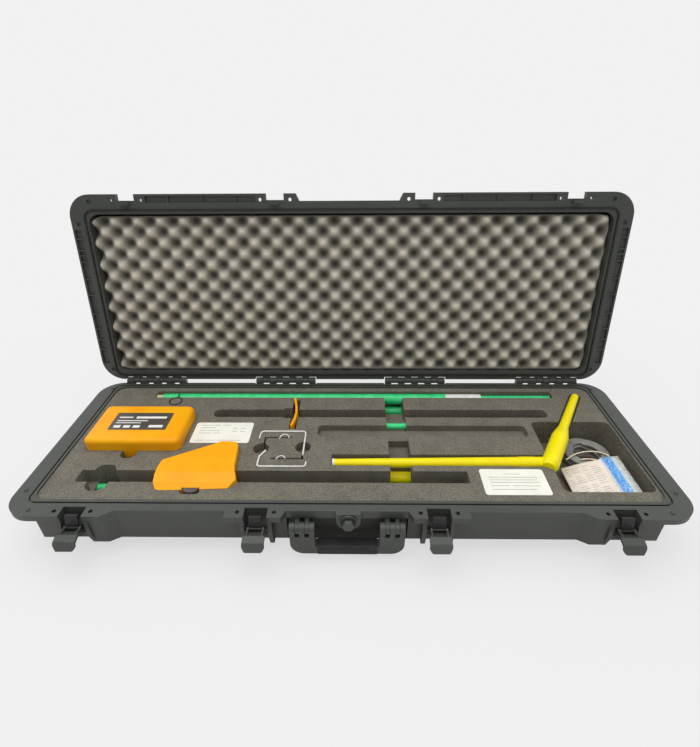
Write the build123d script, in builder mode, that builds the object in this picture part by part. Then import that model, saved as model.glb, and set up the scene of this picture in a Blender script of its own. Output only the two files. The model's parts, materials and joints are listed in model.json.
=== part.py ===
"""Long hard case, lying open, with an overhead line and circuit finder kit in its foam.

Millimetres, Z up. The origin is the centre of the case's underside, the front faces -Y and +X is right.
Places across the case are given from its front lip with fy(), and heights from the rim of the base with fz().
"""

import os
from math import atan2, cos, degrees, hypot, pi, radians, sin, tan

from build123d import *

# ---- Case -------------------------------------------------------------------------------------------
CASE_W = 1190.0
CASE_D = 418.0
BASE_H = 100.0
LID_H = 58.0
LIP_T = 12.0
LIP_R = 48.0
WALL = 5.0
RIM_GAP = 0.4
LID_LEAN = 9.74

TUB_SIDE_IN = 33.0
TUB_FRONT_IN = 34.5
TUB_BACK_IN = 14.0
TUB_R = 27.0
TUB_EDGE_R = 10.0

MID_SETBACK = 14.0
CENTRE_SETBACK = 15.0
MID_ZONE = (209.0, 400.0)
CENTRE_ZONE = 105.0
CHAMFER_OUT = 22.0
CHAMFER_IN = 8.0
BAND_H = 17.0

SKIRT_T = 4.0
SKIRT_H = 68.0
SKIRT_HALF = 526.0
RECESS_SETBACK = 30.0

GROOVE_IN = 30.0
GROOVE_REAR_IN = 10.0
GROOVE_W = 3.4
GROOVE_DEPTH = 3.5
SEAL_CLEAR = 0.3
PIP_R = 4.0
PIP_H = 2.4
PIPS = ((570.0, 392.0), (579.0, 60.0), (548.0, 14.0))

# ---- Latches ----------------------------------------------------------------------------------------
LATCH_X = (-471.0, -156.0, 156.0, 471.0)
RECESS_HALF = 20.0
RECESS_BACK = 22.0
RECESS_H = 50.0
GUSSET_T = 7.5
GUSSET_H = 70.0
HOUSING_H = 56.0
HOUSING_SKIN = 2.5
PADLOCK_OUT = 31.5
PADLOCK_IN = 12.0
PADLOCK_R = 3.75
LATCH_PIVOT = (3.5, -38.0)
LATCH_TURN = 62.0
LATCH_PIN_R = 2.5
LATCH_PIN_SEAT = 3.5
LEVER_HALF = 18.5
LEVER_T = 4.5
LEVER_SHOULDER = (-20.0, -24.0)
LEVER_TIP = (-40.0, -36.0)
LEVER_FLARE = 0.6
LEVER_CORNER = 7.0
HOOK_PIN = (-1.7, -26.0)
HOOK_PIN_R = 2.0
HOOK_HALF = 11.0
HOOK_L = 24.0
HOOK_T = 3.0
HOOK_LEAN = 18.0
HOOK_EAR_T = 3.5
PIN_CLEAR = 0.05
SIDE_CLEAR = 0.5
CATCH_HALF = 9.5
CATCH_IN = (19.0, 21.4)
CATCH_DROP = 10.5
CATCH_BARB = (15.2, 2.5)
LID_NOTCH_IN = 13.0
LID_NOTCH_HALF = 19.0
LID_RIBS = (40.0, 76.0, 100.0, 126.0, 162.0, 205.0, 241.0, 279.0, 293.0, 304.0, 328.0, 348.0)
LID_FRONT_RIBS = (196.0, 238.0, 309.0, 381.0, 430.0)
RIB_T = 2.4
CELL_DEPTH = 5.0

# ---- Hinges -----------------------------------------------------------------------------------------
HINGE_X = (-471.5, -156.0, 156.0, 471.5)
HINGE_OUT = 4.4
HINGE_UP = 5.2
KNUCKLE_R = 7.0
HINGE_PIN_R = 3.0
BASE_KNUCKLES = (-64.0, -32.0, 0.0, 32.0, 64.0)
LID_KNUCKLES = (-48.0, -16.0, 16.0, 48.0)
KNUCKLE_W = 15.2
HINGE_ZONE_HALF = 74.0
HINGE_ZONE_IN = 6.0
HINGE_SHELF_DROP = 3.2

# ---- Handle and valve -------------------------------------------------------------------------------
HANDLE_PIVOT = (2.0, -28.0)
HANDLE_HALF = 99.0
HANDLE_LEG = 43.0
HANDLE_T = 18.0
HANDLE_DROP = 55.0
GRIP_H = 18.0
HANDLE_CORNER_R = 24.0
FINGER_W = 9.0
FINGER_R = 11.0
LUG_R = 9.5
LUG_W = 7.0
LUG_OFFSETS = (-8.5, 8.5)
HANDLE_PIN_R = 3.0
GRIP_HALF = 52.0
VALVE_X = 2.0
VALVE_DROP = 16.0
VALVE_BOSS_R = 21.0
VALVE_BOSS_T = 8.0
VALVE_RING_R = 15.0
VALVE_KNOB_R = 11.0
VALVE_STEM_R = 4.0
VALVE_CLEAR = 0.3

# ---- Foam -------------------------------------------------------------------------------------------
FOAM_DROP = 3.0
UPPER_T = 30.0
FOAM_CLEAR = 0.3
UPPER_SEAMS = (-335.0, -111.0, 150.0, 386.0)
LOWER_SEAMS = (-400.0, -60.0, 200.0)
SEAM_W = 0.2
LID_FOAM_T = 30.0
SLOT_A = (-457.0, 470.0, 359.0, 385.0)
SADDLE_A_X = ((-370.0, -350.0), (-70.0, -50.0), (180.0, 200.0))
SLOT_B = (-301.0, 435.0, 284.0, 312.0)
SLOT_B_WIDE = (-147.0, -115.0, 281.0, 317.0)
SLOT_C = (-66.0, 372.0, 219.0, 255.0)
SLOT_C_DEPTH = 14.0
SLOT_D = (-506.0, 224.0, 85.0, 116.0)
POCKET = (-482.0, -442.0, 63.0, 131.0)
POCKET_DEPTH = 62.0
SLOT_E = (-33.0, 380.0, 131.0, 163.0)
SADDLE_E_X = (10.0, 30.0)
NOTCH_X = (80.0, 122.0)
WELL = (388.0, 553.0, 65.0, 269.0)
WELL_DEPTH = 62.0
SCOOP = (-453.0, -421.0, 150.0, 178.0)
SCOOP_DEPTH = 26.0

# ---- Contents ---------------------------------------------------------------------------------------
SENDER_X = -434.0
SENDER_IN = 233.5
SENDER_W = 192.0
SENDER_D = 122.0
SENDER_H = 55.0
SENDER_PROUD = 25.0
SENDER_R = 13.0
CASE_SKIN = 2.6
POCKET_CLEAR = 0.8
RECEIVER_PROUD = 13.0
RECEIVER_H = 43.0
KNOB_X = -285.0
KNOB_IN = 75.0
KNOB_R = 16.5
KNOB_T = 9.0
WHEEL_PIN_R = 2.5
RECEIVER_OUTLINE = (
    (-356.0, 79.0), (-359.0, 110.0), (-357.0, 132.0), (-253.0, 188.0), (-226.0, 186.0), (-219.0, 176.0),
    (-214.0, 118.0), (-205.0, 84.0), (-218.0, 69.0), (-342.0, 65.0), (-351.0, 68.0),
)
SENDER_HOLE = (
    SENDER_X - SENDER_W / 2 - POCKET_CLEAR,
    SENDER_X + SENDER_W / 2 + POCKET_CLEAR,
    SENDER_IN - SENDER_D / 2 - POCKET_CLEAR,
    SENDER_IN + SENDER_D / 2 + POCKET_CLEAR,
)
GREEN_ROD_R = 12.5
GREEN_ROD_IN = 371.8
GREEN_ROD_DROP = 16.0
GREEN_BAND_X = (223.0, 305.0)
PROBE_DROP = 4.0
PROBE_ARM_TURN = 59.3
PROBE_START = (377.0, 122.0)
PROBE_HEAD_L = 110.0
PROBE_NOSE = (6.0, 14.0)
PROBE_TAPER_L = 40.0
PROBE_ARM_L = 132.0
PROBE_HEAD_R = 17.0
HEAD_CLEAR = 1.0
PROBE_ARM_R = 10.0
PROBE_TIP_R = 8.5
POLE_X = (-27.0, 328.0)
POLE_IN = (142.5, 144.5)
POLE_DROP = 7.0
POLE_R = (8.0, 11.4)
CAP_L = 4.5
SLEEVE_R = 12.0
SLEEVE_L = 40.0
WIRE_R = 1.7
LOOP_X = -402.0
LOOP_IN = 343.0
LOOP_R = 14.0
LOOP_WIRE_R = 1.0
PLUG_R = 5.0
PLUG_L = 28.0
COIL_X = 497.0
COIL_IN = 213.0
COIL_R = (26.0, 50.0)
COIL_H = 24.0
CORD_R = 1.5
CORD_Z = 64.2
CORD_POINTS = (
    (443.0, -23.0), (458.0, -11.0), (478.0, -1.0), (500.0, 3.0), (519.0, 1.0),
    (537.0, -11.0), (527.0, -28.5), (506.0, -25.0), (486.0, -19.0), (471.0, -23.0),
)
LEAFLET_AT = (466.0, 125.0, 37.7)
LEAFLET_X = (0.943, 0.0, 0.332)
LEAFLET_UP = (-0.332, 0.0, 0.943)
LEAFLET_W = 77.0
LEAFLET_L = 98.0
LEAFLET_T = 2.5
BAG_AT = (520.6, 128.0, 22.0)
BAG_X = (0.985, 0.0, 0.174)
BAG_UP = (-0.174, 0.0, 0.985)
BAG_W = 36.0
BAG_L = 102.0
BAG_T = 5.0
CLIP_HOLE = (-128.5, -113.0, 243.0, 348.0)
CLIP_LINE = ((-122.5, 246.5), (-118.0, 270.0), (-116.5, 290.0), (-119.0, 315.0), (-125.0, 344.0))
CLIP_PROUD = 8.0
CLIP_H = 42.0
CLIP_T = 5.0
ROD_2 = (366.0, 46.5, 12.0)
ROD_2_X = (-300.0, 300.0)
ROD_3 = (265.0, 13.0, 6.5)
ROD_3_X = (-60.0, 372.0)
ROD_4 = (108.0, 42.0, 8.0)
ROD_4_X = (-500.0, 200.0)
ROD_5 = (143.5, 46.5, 12.0)
ROD_5_X = (-40.0, 330.0)
LABEL_T = 0.6
LABELS = {"label_left": (-327.0, -205.0, 196.0, 263.0), "label_right": (246.0, 364.5, 56.5, 122.0)}
FINGER_HOLES = ((-176.0, 180.0), (-92.0, 184.0))
FINGER_HOLE_R = 16.0
FRAME_SLITS = (
    (-174.0, -117.0, 212.0, 216.0),
    (-174.0, -170.0, 174.0, 216.0),
    (-153.0, -93.0, 148.0, 152.0),
    (-93.0, -89.0, 148.0, 168.0),
)

FRONT = -CASE_D / 2
REAR = CASE_D / 2
RIM = BASE_H
FOAM_TOP = RIM - FOAM_DROP
UPPER_BOTTOM = FOAM_TOP - UPPER_T
CAVITY_X = CASE_W / 2 - TUB_SIDE_IN - WALL
CAVITY_FRONT = TUB_FRONT_IN + WALL
CAVITY_BACK = TUB_BACK_IN + WALL
CAVITY_R = TUB_R - WALL


def fy(inward):
    """A place across the case, from how far it lies behind the front lip."""
    return FRONT + inward


def fz(rise):
    """A height, from how far it lies above the base's rim."""
    return RIM + rise


def block(x0, x1, y0, y1, z0, z1, radius=0.0, mode=Mode.ADD):
    """An upright block, its four upright edges rounded, added to or cut from the part being built."""
    with BuildSketch(Plane.XY.offset(z0)) as outline:
        with Locations(((x0 + x1) / 2, (y0 + y1) / 2)):
            if radius:
                RectangleRounded(x1 - x0, y1 - y0, radius)
            else:
                Rectangle(x1 - x0, y1 - y0)
    extrude(outline.sketch, amount=z1 - z0, mode=mode)


def round_x(x0, x1, y, z, radius, mode=Mode.ADD):
    """A round bar or bore along X."""
    with BuildSketch(Plane.YZ.offset(x0)) as section:
        with Locations((y, z)):
            Circle(radius)
    extrude(section.sketch, amount=x1 - x0, mode=mode)


def round_y(x, z, y0, y1, radius, mode=Mode.ADD):
    """A round bar or bore along Y."""
    with BuildSketch(Plane.XZ.offset(-y1)) as section:
        with Locations((x, z)):
            Circle(radius)
    extrude(section.sketch, amount=y1 - y0, mode=mode)


def round_z(x, y, z0, z1, radius, mode=Mode.ADD):
    """A round bar or bore along Z."""
    with BuildSketch(Plane.XY.offset(z0)) as section:
        with Locations((x, y)):
            Circle(radius)
    extrude(section.sketch, amount=z1 - z0, mode=mode)


def profile_x(x0, x1, points, mode=Mode.ADD):
    """A plate between two places along X, from its outline of (inward, rise) points."""
    with BuildSketch(Plane.YZ.offset(x0)) as section:
        Polygon(*[(fy(y), fz(z)) for y, z in points], align=None)
    extrude(section.sketch, amount=x1 - x0, mode=mode)


def turned(point, centre, angle):
    """A point turned about a centre, in the plane across the case."""
    y, z = point[0] - centre[0], point[1] - centre[1]
    c, s = cos(radians(angle)), sin(radians(angle))
    return centre[0] + y * c - z * s, centre[1] + y * s + z * c


def save(name, part, color):
    """Writes one finished piece to its own file."""
    part.label = name
    part.color = Color(*color)
    export_step(part, f"parts/{name}.step")


def ring(inset, rear_inset, width, z0, z1, mode):
    """A racetrack rib or groove that follows the lip, a given way in at its sides and at its rear."""
    outer_w, outer_d = CASE_W - 2 * inset, CASE_D - inset - rear_inset
    corner = LIP_R - inset
    with BuildSketch(Plane.XY.offset(z0)) as track:
        with Locations((0, (inset - rear_inset) / 2)):
            RectangleRounded(outer_w, outer_d, corner)
            RectangleRounded(outer_w - 2 * width, outer_d - 2 * width, corner - width, mode=Mode.SUBTRACT)
    extrude(track.sketch, amount=z1 - z0, mode=mode)


def lip_outline(with_mid_zones):
    """The lip's outline, set back at the handle and, on the base, between the latches."""
    RectangleRounded(CASE_W, CASE_D, LIP_R)
    Polygon(
        (-CENTRE_ZONE - CHAMFER_IN, FRONT - 1),
        (-CENTRE_ZONE, fy(CENTRE_SETBACK)),
        (CENTRE_ZONE, fy(CENTRE_SETBACK)),
        (CENTRE_ZONE + CHAMFER_IN, FRONT - 1),
        align=None,
        mode=Mode.SUBTRACT,
    )
    if with_mid_zones:
        for side in (-1, 1):
            near, far = side * MID_ZONE[0], side * MID_ZONE[1]
            Polygon(
                (near, FRONT - 1),
                (near, fy(MID_SETBACK)),
                (far, fy(MID_SETBACK)),
                (far + side * CHAMFER_OUT, FRONT - 1),
                align=None,
                mode=Mode.SUBTRACT,
            )


def hinge_axis():
    """Where the lid's hinge line lies across the case."""
    return REAR + HINGE_OUT, RIM + HINGE_UP


def hinge_gap(x, z0, z1):
    """Cuts the lip back along one hinge, so that the other half's knuckles swing clear."""
    y0 = REAR - HINGE_ZONE_IN
    block(x - HINGE_ZONE_HALF, x + HINGE_ZONE_HALF, y0, REAR + 1, z0, z1, mode=Mode.SUBTRACT)


def knuckle(x, below):
    """One hinge knuckle with its arm to the lip, and its bore."""
    y, z = hinge_axis()
    edge = REAR - HINGE_ZONE_IN
    far = z - LIP_T - KNUCKLE_R if below else z + LIP_T
    seat = RIM if below else RIM + RIM_GAP
    with BuildSketch(Plane.YZ.offset(x - KNUCKLE_W / 2)) as section:
        with Locations((y, z)):
            Circle(KNUCKLE_R)
        Polygon((edge + 1.2, z), (edge + 1.2, far), (y + 4, far), (y + 4, z), align=None)
        Polygon((edge - 2, seat), (edge - 2, far), (y + 4, far), (y + 4, seat), align=None)
        with Locations((y, z)):
            Circle(HINGE_PIN_R + PIN_CLEAR, mode=Mode.SUBTRACT)
    extrude(section.sketch, amount=KNUCKLE_W)


def strip(plane, points, thickness, amount, mode=Mode.ADD):
    """A bent plate of one thickness that follows a row of points on a plane."""
    with BuildSketch(plane) as section:
        for (ya, za), (yb, zb) in zip(points, points[1:]):
            run = hypot(yb - ya, zb - za)
            ny, nz = (zb - za) / run * thickness / 2, (ya - yb) / run * thickness / 2
            corners = ((ya + ny, za + nz), (yb + ny, zb + nz), (yb - ny, zb - nz), (ya - ny, za - nz))
            Polygon(*corners, align=None)
        for point in points:
            with Locations(point):
                Circle(thickness / 2)
    extrude(section.sketch, amount=amount, mode=mode)


def strip_x(x0, x1, points, thickness):
    """A bent plate between two places along X, along a row of (inward, rise) points."""
    strip(Plane.YZ.offset(x0), [(fy(y), fz(z)) for y, z in points], thickness, x1 - x0)


def opened(part):
    """The closed lid's piece, turned back about the hinge line to where the open lid rests."""
    y, z = hinge_axis()
    return part.rotate(Axis((0, y, z), (1, 0, 0)), -(90 + LID_LEAN))


def along_probe(length, side=0.0):
    """A point beside the probe's arm, from how far it lies along the arm and to its right."""
    c, s = cos(radians(PROBE_ARM_TURN)), sin(radians(PROBE_ARM_TURN))
    return PROBE_START[0] + length * c + side * s, fy(PROBE_START[1]) + length * s - side * c


def probe_plane(length):
    """The plane across the probe's arm, at a place along it."""
    x, y = along_probe(length)
    c, s = cos(radians(PROBE_ARM_TURN)), sin(radians(PROBE_ARM_TURN))
    return Plane(origin=(x, y, fz(-PROBE_DROP)), z_dir=(c, s, 0))


def arm_slot(start, end, width, z0, z1):
    """Cuts a round-ended channel that follows the probe's arm."""
    x, y = along_probe((start + end) / 2)
    with BuildSketch(Plane.XY.offset(z0)) as channel:
        with Locations(Location((x, y, 0), (0, 0, PROBE_ARM_TURN))):
            SlotOverall(end - start, width)
    extrude(channel.sketch, amount=z1 - z0, mode=Mode.SUBTRACT)


def cut_box(x0, x1, near, far, z0, z1, radius=0.0):
    """Cuts an upright hole given by places along X and places in from the front lip."""
    block(x0, x1, fy(near), fy(far), z0, z1, radius, mode=Mode.SUBTRACT)


def wire(points, corner_r, radius, z):
    """A bent wire that lies level, along its corner points."""
    with BuildLine() as path:
        FilletPolyline(*[(x, fy(y), z) for x, y in points], radius=corner_r)
    with BuildSketch(Plane(origin=path.line @ 0, z_dir=path.line % 0)) as section:
        Circle(radius)
    sweep(section.sketch, path=path.line)


COLORS = {
    "shell": (0.22, 0.23, 0.22),
    "foam": (0.32, 0.31, 0.28),
    "orange": (1.0, 0.65, 0.0),
    "yellow": (1.0, 0.93, 0.0),
    "green": (0.1, 0.75, 0.4),
    "white": (0.92, 0.92, 0.88),
    "steel": (0.6, 0.6, 0.6),
    "dark": (0.1, 0.1, 0.1),
    "cream": (0.9, 0.86, 0.7),
}

os.makedirs("parts", exist_ok=True)

# ---- Base shell -------------------------------------------------------------------------------------
with BuildPart() as base_shell:
    tub_x = CASE_W / 2 - TUB_SIDE_IN
    block(-tub_x, tub_x, fy(TUB_FRONT_IN), REAR - TUB_BACK_IN, 0, RIM, TUB_R)
    fillet(base_shell.faces().sort_by(Axis.Z)[0].edges(), TUB_EDGE_R)
    with BuildSketch(Plane.XY.offset(RIM - LIP_T)):
        lip_outline(True)
    extrude(amount=LIP_T)
    # skirt under the lip, with the handle's recess in the middle
    for side in (-1, 1):
        x0, x1 = sorted((side * CENTRE_ZONE, side * SKIRT_HALF))
        block(x0, x1, fy(MID_SETBACK), fy(MID_SETBACK + SKIRT_T), fz(-SKIRT_H), fz(-LIP_T))
        for near in (CENTRE_ZONE, SKIRT_HALF - SKIRT_T):
            x0, x1 = sorted((side * near, side * (near + SKIRT_T)))
            block(x0, x1, fy(MID_SETBACK), fy(TUB_FRONT_IN + 1), fz(-SKIRT_H), fz(-LIP_T))
    recess_y = (fy(RECESS_SETBACK), fy(RECESS_SETBACK + SKIRT_T))
    block(-CENTRE_ZONE, CENTRE_ZONE, *recess_y, fz(-SKIRT_H), fz(-LIP_T))
    block(-CENTRE_ZONE, CENTRE_ZONE, fy(CENTRE_SETBACK), recess_y[0], fz(-BAND_H), fz(-LIP_T))
    # latch housings: a back plate, a gusset on each side with its foot, and a skin on the outer latches
    for x in LATCH_X:
        half = RECESS_HALF + GUSSET_T
        block(x - half, x + half, fy(MID_SETBACK), fy(RECESS_BACK + SKIRT_T), fz(-SKIRT_H), fz(-LIP_T))
        for side in (-1, 1):
            x0, x1 = sorted((x + side * RECESS_HALF, x + side * half))
            profile_x(
                x0,
                x1,
                [
                    (2, -LIP_T),
                    (-2, LATCH_PIVOT[1] + 12),
                    (-2, LATCH_PIVOT[1] - 8),
                    (5, -GUSSET_H),
                    (13, -GUSSET_H),
                    (TUB_FRONT_IN + 1, -HOUSING_H),
                    (TUB_FRONT_IN + 1, -LIP_T),
                ],
            )
        if abs(x) > CASE_W / 4:
            out = 1 if x > 0 else -1
            near, far = out * (abs(x) + half), out * (SKIRT_HALF + GUSSET_T)
            x0, x1 = sorted((near, far))
            block(x0, x1, fy(3), fy(3 + HOUSING_SKIN), fz(-HOUSING_H), fz(-LIP_T))
            x0, x1 = sorted((far - out * HOUSING_SKIN, far))
            block(x0, x1, fy(3), fy(TUB_FRONT_IN + 1), fz(-HOUSING_H), fz(-LIP_T))
            start = x - out * half
            corner = -out * (MID_ZONE[1] + CHAMFER_OUT)
            with BuildSketch(Plane.XY.offset(fz(-SKIRT_H + 2))) as skin:
                Polygon(
                    (start, fy(2)),
                    (-corner - out * 2, fy(2)),
                    (out * MID_ZONE[1], fy(MID_SETBACK)),
                    (out * MID_ZONE[1], fy(MID_SETBACK + 1)),
                    (out * (MID_ZONE[1] + HOUSING_SKIN), fy(MID_SETBACK + 1)),
                    (-corner - out, fy(2 + HOUSING_SKIN)),
                    (start, fy(2 + HOUSING_SKIN)),
                    align=None,
                )
            extrude(skin.sketch, amount=SKIRT_H - 2 - LIP_T)
    for x in LATCH_X:
        x0, x1 = x - RECESS_HALF, x + RECESS_HALF
        block(x0, x1, fy(-4), fy(RECESS_BACK), fz(-RECESS_H), fz(1), mode=Mode.SUBTRACT)
        round_x(
            x0 - LATCH_PIN_SEAT,
            x1 + LATCH_PIN_SEAT,
            fy(LATCH_PIVOT[0]),
            fz(LATCH_PIVOT[1]),
            LATCH_PIN_R + PIN_CLEAR,
            mode=Mode.SUBTRACT,
        )
        for side in (-1, 1):
            hole_x = x + side * PADLOCK_OUT
            round_z(hole_x, fy(PADLOCK_IN), fz(-LIP_T - 1), fz(1), PADLOCK_R, mode=Mode.SUBTRACT)
    # cavity for the foam, groove for the lid's seal and locating pips
    cavity = (-CAVITY_X, CAVITY_X, fy(CAVITY_FRONT), REAR - CAVITY_BACK)
    block(*cavity, WALL, RIM + 1, CAVITY_R, mode=Mode.SUBTRACT)
    ring(GROOVE_IN, GROOVE_REAR_IN, GROOVE_W, RIM - GROOVE_DEPTH, RIM + 1, Mode.SUBTRACT)
    for x, inward in PIPS:
        for side in (-1, 1):
            with Locations((side * x, fy(inward), RIM + PIP_H / 2)):
                Cone(PIP_R, PIP_R - 1.5, PIP_H)
    # rear hinge knuckles, their arms and the gaps for the lid's own
    for x in HINGE_X:
        hinge_gap(x, fz(-HINGE_SHELF_DROP), fz(1))
        for shift in BASE_KNUCKLES:
            knuckle(x + shift, True)
    # handle lugs and their bores
    for side in (-1, 1):
        for finger in LUG_OFFSETS:
            x = side * (HANDLE_HALF - HANDLE_LEG / 2) + finger
            with BuildSketch(Plane.YZ.offset(x - LUG_W / 2)) as lug:
                with Locations((fy(HANDLE_PIVOT[0]), fz(HANDLE_PIVOT[1]))):
                    Circle(LUG_R)
                y0, y1 = fy(HANDLE_PIVOT[0]), fy(RECESS_SETBACK + 1)
                with Locations(((y0 + y1) / 2, fz(HANDLE_PIVOT[1]))):
                    Rectangle(y1 - y0, 2 * LUG_R)
                with Locations((fy(HANDLE_PIVOT[0]), fz(HANDLE_PIVOT[1]))):
                    Circle(HANDLE_PIN_R + PIN_CLEAR, mode=Mode.SUBTRACT)
            extrude(lug.sketch, amount=LUG_W)
    # boss and seat for the pressure valve
    round_y(VALVE_X, fz(-VALVE_DROP), fy(CENTRE_SETBACK - VALVE_BOSS_T), fy(CENTRE_SETBACK + 3), VALVE_BOSS_R)
    x0, x1 = VALVE_X - VALVE_BOSS_R, VALVE_X + VALVE_BOSS_R
    block(x0, x1, fy(CENTRE_SETBACK - VALVE_BOSS_T), fy(CENTRE_SETBACK + 3), fz(-VALVE_DROP), fz(0))
    block(x0, x1, fy(0), fy(CENTRE_SETBACK + 4), RIM, fz(VALVE_BOSS_R), mode=Mode.SUBTRACT)
    seat_r, bore_r = VALVE_RING_R + VALVE_CLEAR, VALVE_STEM_R + 2 + VALVE_CLEAR
    round_y(VALVE_X, fz(-VALVE_DROP), fy(-10), fy(CENTRE_SETBACK - 2), seat_r, mode=Mode.SUBTRACT)
    round_y(VALVE_X, fz(-VALVE_DROP), fy(0), fy(CENTRE_SETBACK + 8), bore_r, mode=Mode.SUBTRACT)
save("base_shell", base_shell.part, COLORS["shell"])

# ---- Foam in the base: an upper layer cut for the kit, a lower layer with a second tier of rods -----
foam_x = CAVITY_X - FOAM_CLEAR
foam_front, foam_back = fy(CAVITY_FRONT + FOAM_CLEAR), REAR - CAVITY_BACK - FOAM_CLEAR
foam_r = CAVITY_R - FOAM_CLEAR

with BuildPart() as foam_upper:
    low, high = UPPER_BOTTOM - 1, FOAM_TOP + 1
    block(-foam_x, foam_x, foam_front, foam_back, UPPER_BOTTOM, FOAM_TOP, foam_r)
    cut_box(*SLOT_A, low, high, 6)
    cut_box(*SLOT_B, low, high, 13)
    cut_box(*SLOT_B_WIDE, low, high, 5)
    for x0, x1 in SADDLE_A_X:
        block(x0, x1, fy(SLOT_A[2] - 1), fy(SLOT_A[3] + 1), UPPER_BOTTOM, fz(-GREEN_ROD_DROP) - GREEN_ROD_R)
    cut_box(*SLOT_C, FOAM_TOP - SLOT_C_DEPTH, high, 10)
    cut_box(*SLOT_D, low, high, 4)
    cut_box(*POCKET, low, high, 16)
    cut_box(*SLOT_E, low, high, 2)
    block(*SADDLE_E_X, fy(SLOT_E[2] - 1), fy(SLOT_E[3] + 1), UPPER_BOTTOM, fz(-POLE_DROP) - POLE_R[0] - 0.6)
    cut_box(NOTCH_X[0], NOTCH_X[1], SLOT_C[3] - 2, SLOT_A[2] + 1, low, high)
    cut_box(NOTCH_X[0], NOTCH_X[1], SLOT_E[3] - 4, SLOT_C[2] + 1, low, high)
    cut_box(NOTCH_X[0], NOTCH_X[1], SLOT_D[3] - 1, SLOT_E[2] + 1, low, high)
    cut_box(*WELL, low, high, 12)
    cut_box(*SENDER_HOLE, low, high, SENDER_R + POCKET_CLEAR)
    cut_box(*SCOOP, FOAM_TOP - SCOOP_DEPTH, high, 13)
    with BuildSketch(Plane.XY.offset(low)) as pocket:
        Polygon(*[(x, fy(y)) for x, y in RECEIVER_OUTLINE], align=None)
        offset(amount=POCKET_CLEAR)
    extrude(pocket.sketch, amount=high - low, mode=Mode.SUBTRACT)
    cut_box(KNOB_X - KNOB_R - 2, KNOB_X + KNOB_R + 2, KNOB_IN - KNOB_R - 3, KNOB_IN, low, high, 8)
    arm_end = PROBE_HEAD_L + PROBE_TAPER_L + PROBE_ARM_L + 12
    arm_slot(PROBE_HEAD_L + PROBE_TAPER_L - 12, arm_end, 26, fz(-PROBE_DROP) - PROBE_ARM_R, high)
    cradle_t = (PROBE_NOSE[0] - HEAD_CLEAR, PROBE_HEAD_L / 2)
    cradle_s = (-PROBE_HEAD_R - HEAD_CLEAR, PROBE_HEAD_R + HEAD_CLEAR)
    cradle_z = fz(-PROBE_DROP) - PROBE_HEAD_R
    cradle_corners = [(cradle_t[0], cradle_s[0]), (cradle_t[0], cradle_s[1])]
    cradle_corners += [(cradle_t[1], cradle_s[1]), (cradle_t[1], cradle_s[0])]
    with BuildSketch(Plane.XY.offset(cradle_z)) as cradle:
        Polygon(*[along_probe(t, s) for t, s in cradle_corners], align=None)
    extrude(cradle.sketch, amount=high - cradle_z, mode=Mode.SUBTRACT)
    cut_box(POLE_X[1] - 6, 384, POLE_IN[1] - SLEEVE_R - 3, POLE_IN[1] + SLEEVE_R + 3, low, high, 4)
    cut_box(*CLIP_HOLE, low, high)
    for x, inward in FINGER_HOLES:
        round_z(x, fy(inward), FOAM_TOP - 20, high, FINGER_HOLE_R, mode=Mode.SUBTRACT)
    for slit in FRAME_SLITS:
        cut_box(*slit, FOAM_TOP - 18, high)
    bore_r = ROD_3[2] + FOAM_CLEAR
    round_x(ROD_3_X[0] - 2, ROD_3_X[1] + 2, fy(ROD_3[0]), fz(-ROD_3[1]), bore_r, mode=Mode.SUBTRACT)
    # the sheet is laid in lengths that butt together
    for seam in UPPER_SEAMS:
        cut_box(seam - SEAM_W / 2, seam + SEAM_W / 2, 0, CASE_D, low, high)
save("foam_upper", foam_upper.part, COLORS["foam"])

with BuildPart() as foam_lower:
    high = UPPER_BOTTOM + 1
    block(-foam_x, foam_x, foam_front, foam_back, WALL, UPPER_BOTTOM, foam_r)
    cut_box(*WELL, fz(-WELL_DEPTH), high, 12)
    cut_box(*POCKET, fz(-POCKET_DEPTH), high, 16)
    cut_box(*CLIP_HOLE, FOAM_TOP + CLIP_PROUD - CLIP_H, high)
    for inward, depth, radius in (ROD_2, ROD_5):
        cut_box(*NOTCH_X, inward - radius - 18, inward + radius + 1, fz(-depth - radius), high)
    for place, span in ((ROD_2, ROD_2_X), (ROD_4, ROD_4_X), (ROD_5, ROD_5_X)):
        x0, x1 = span[0] - 2, span[1] + 2
        round_x(x0, x1, fy(place[0]), fz(-place[1]), place[2] + FOAM_CLEAR, mode=Mode.SUBTRACT)
    for seam in LOWER_SEAMS:
        cut_box(seam - SEAM_W / 2, seam + SEAM_W / 2, 0, CASE_D, 0, high)
save("foam_lower", foam_lower.part, COLORS["foam"])

LOWER_RODS = (
    ("green_rod_2", ROD_2, ROD_2_X, "green"),
    ("green_rod_3", ROD_3, ROD_3_X, "green"),
    ("green_rod_4", ROD_4, ROD_4_X, "green"),
    ("yellow_rod_2", ROD_5, ROD_5_X, "yellow"),
)
for name, place, span, color in LOWER_RODS:
    with BuildPart() as lower_rod:
        round_x(span[0], span[1], fy(place[0]), fz(-place[1]), place[2])
        fillet(lower_rod.edges().filter_by(GeomType.CIRCLE), 1.5)
    save(name, lower_rod.part, COLORS[color])

for name, (x0, x1, near, far) in LABELS.items():
    with BuildPart() as label:
        block(x0, x1, fy(near), fy(far), FOAM_TOP, FOAM_TOP + LABEL_T, 5)
    save(name, label.part, COLORS["white"])

# ---- Lid, drawn closed and turned open --------------------------------------------------------------
LID_BOTTOM = RIM + RIM_GAP
LID_TOP = LID_BOTTOM + LID_H

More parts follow.
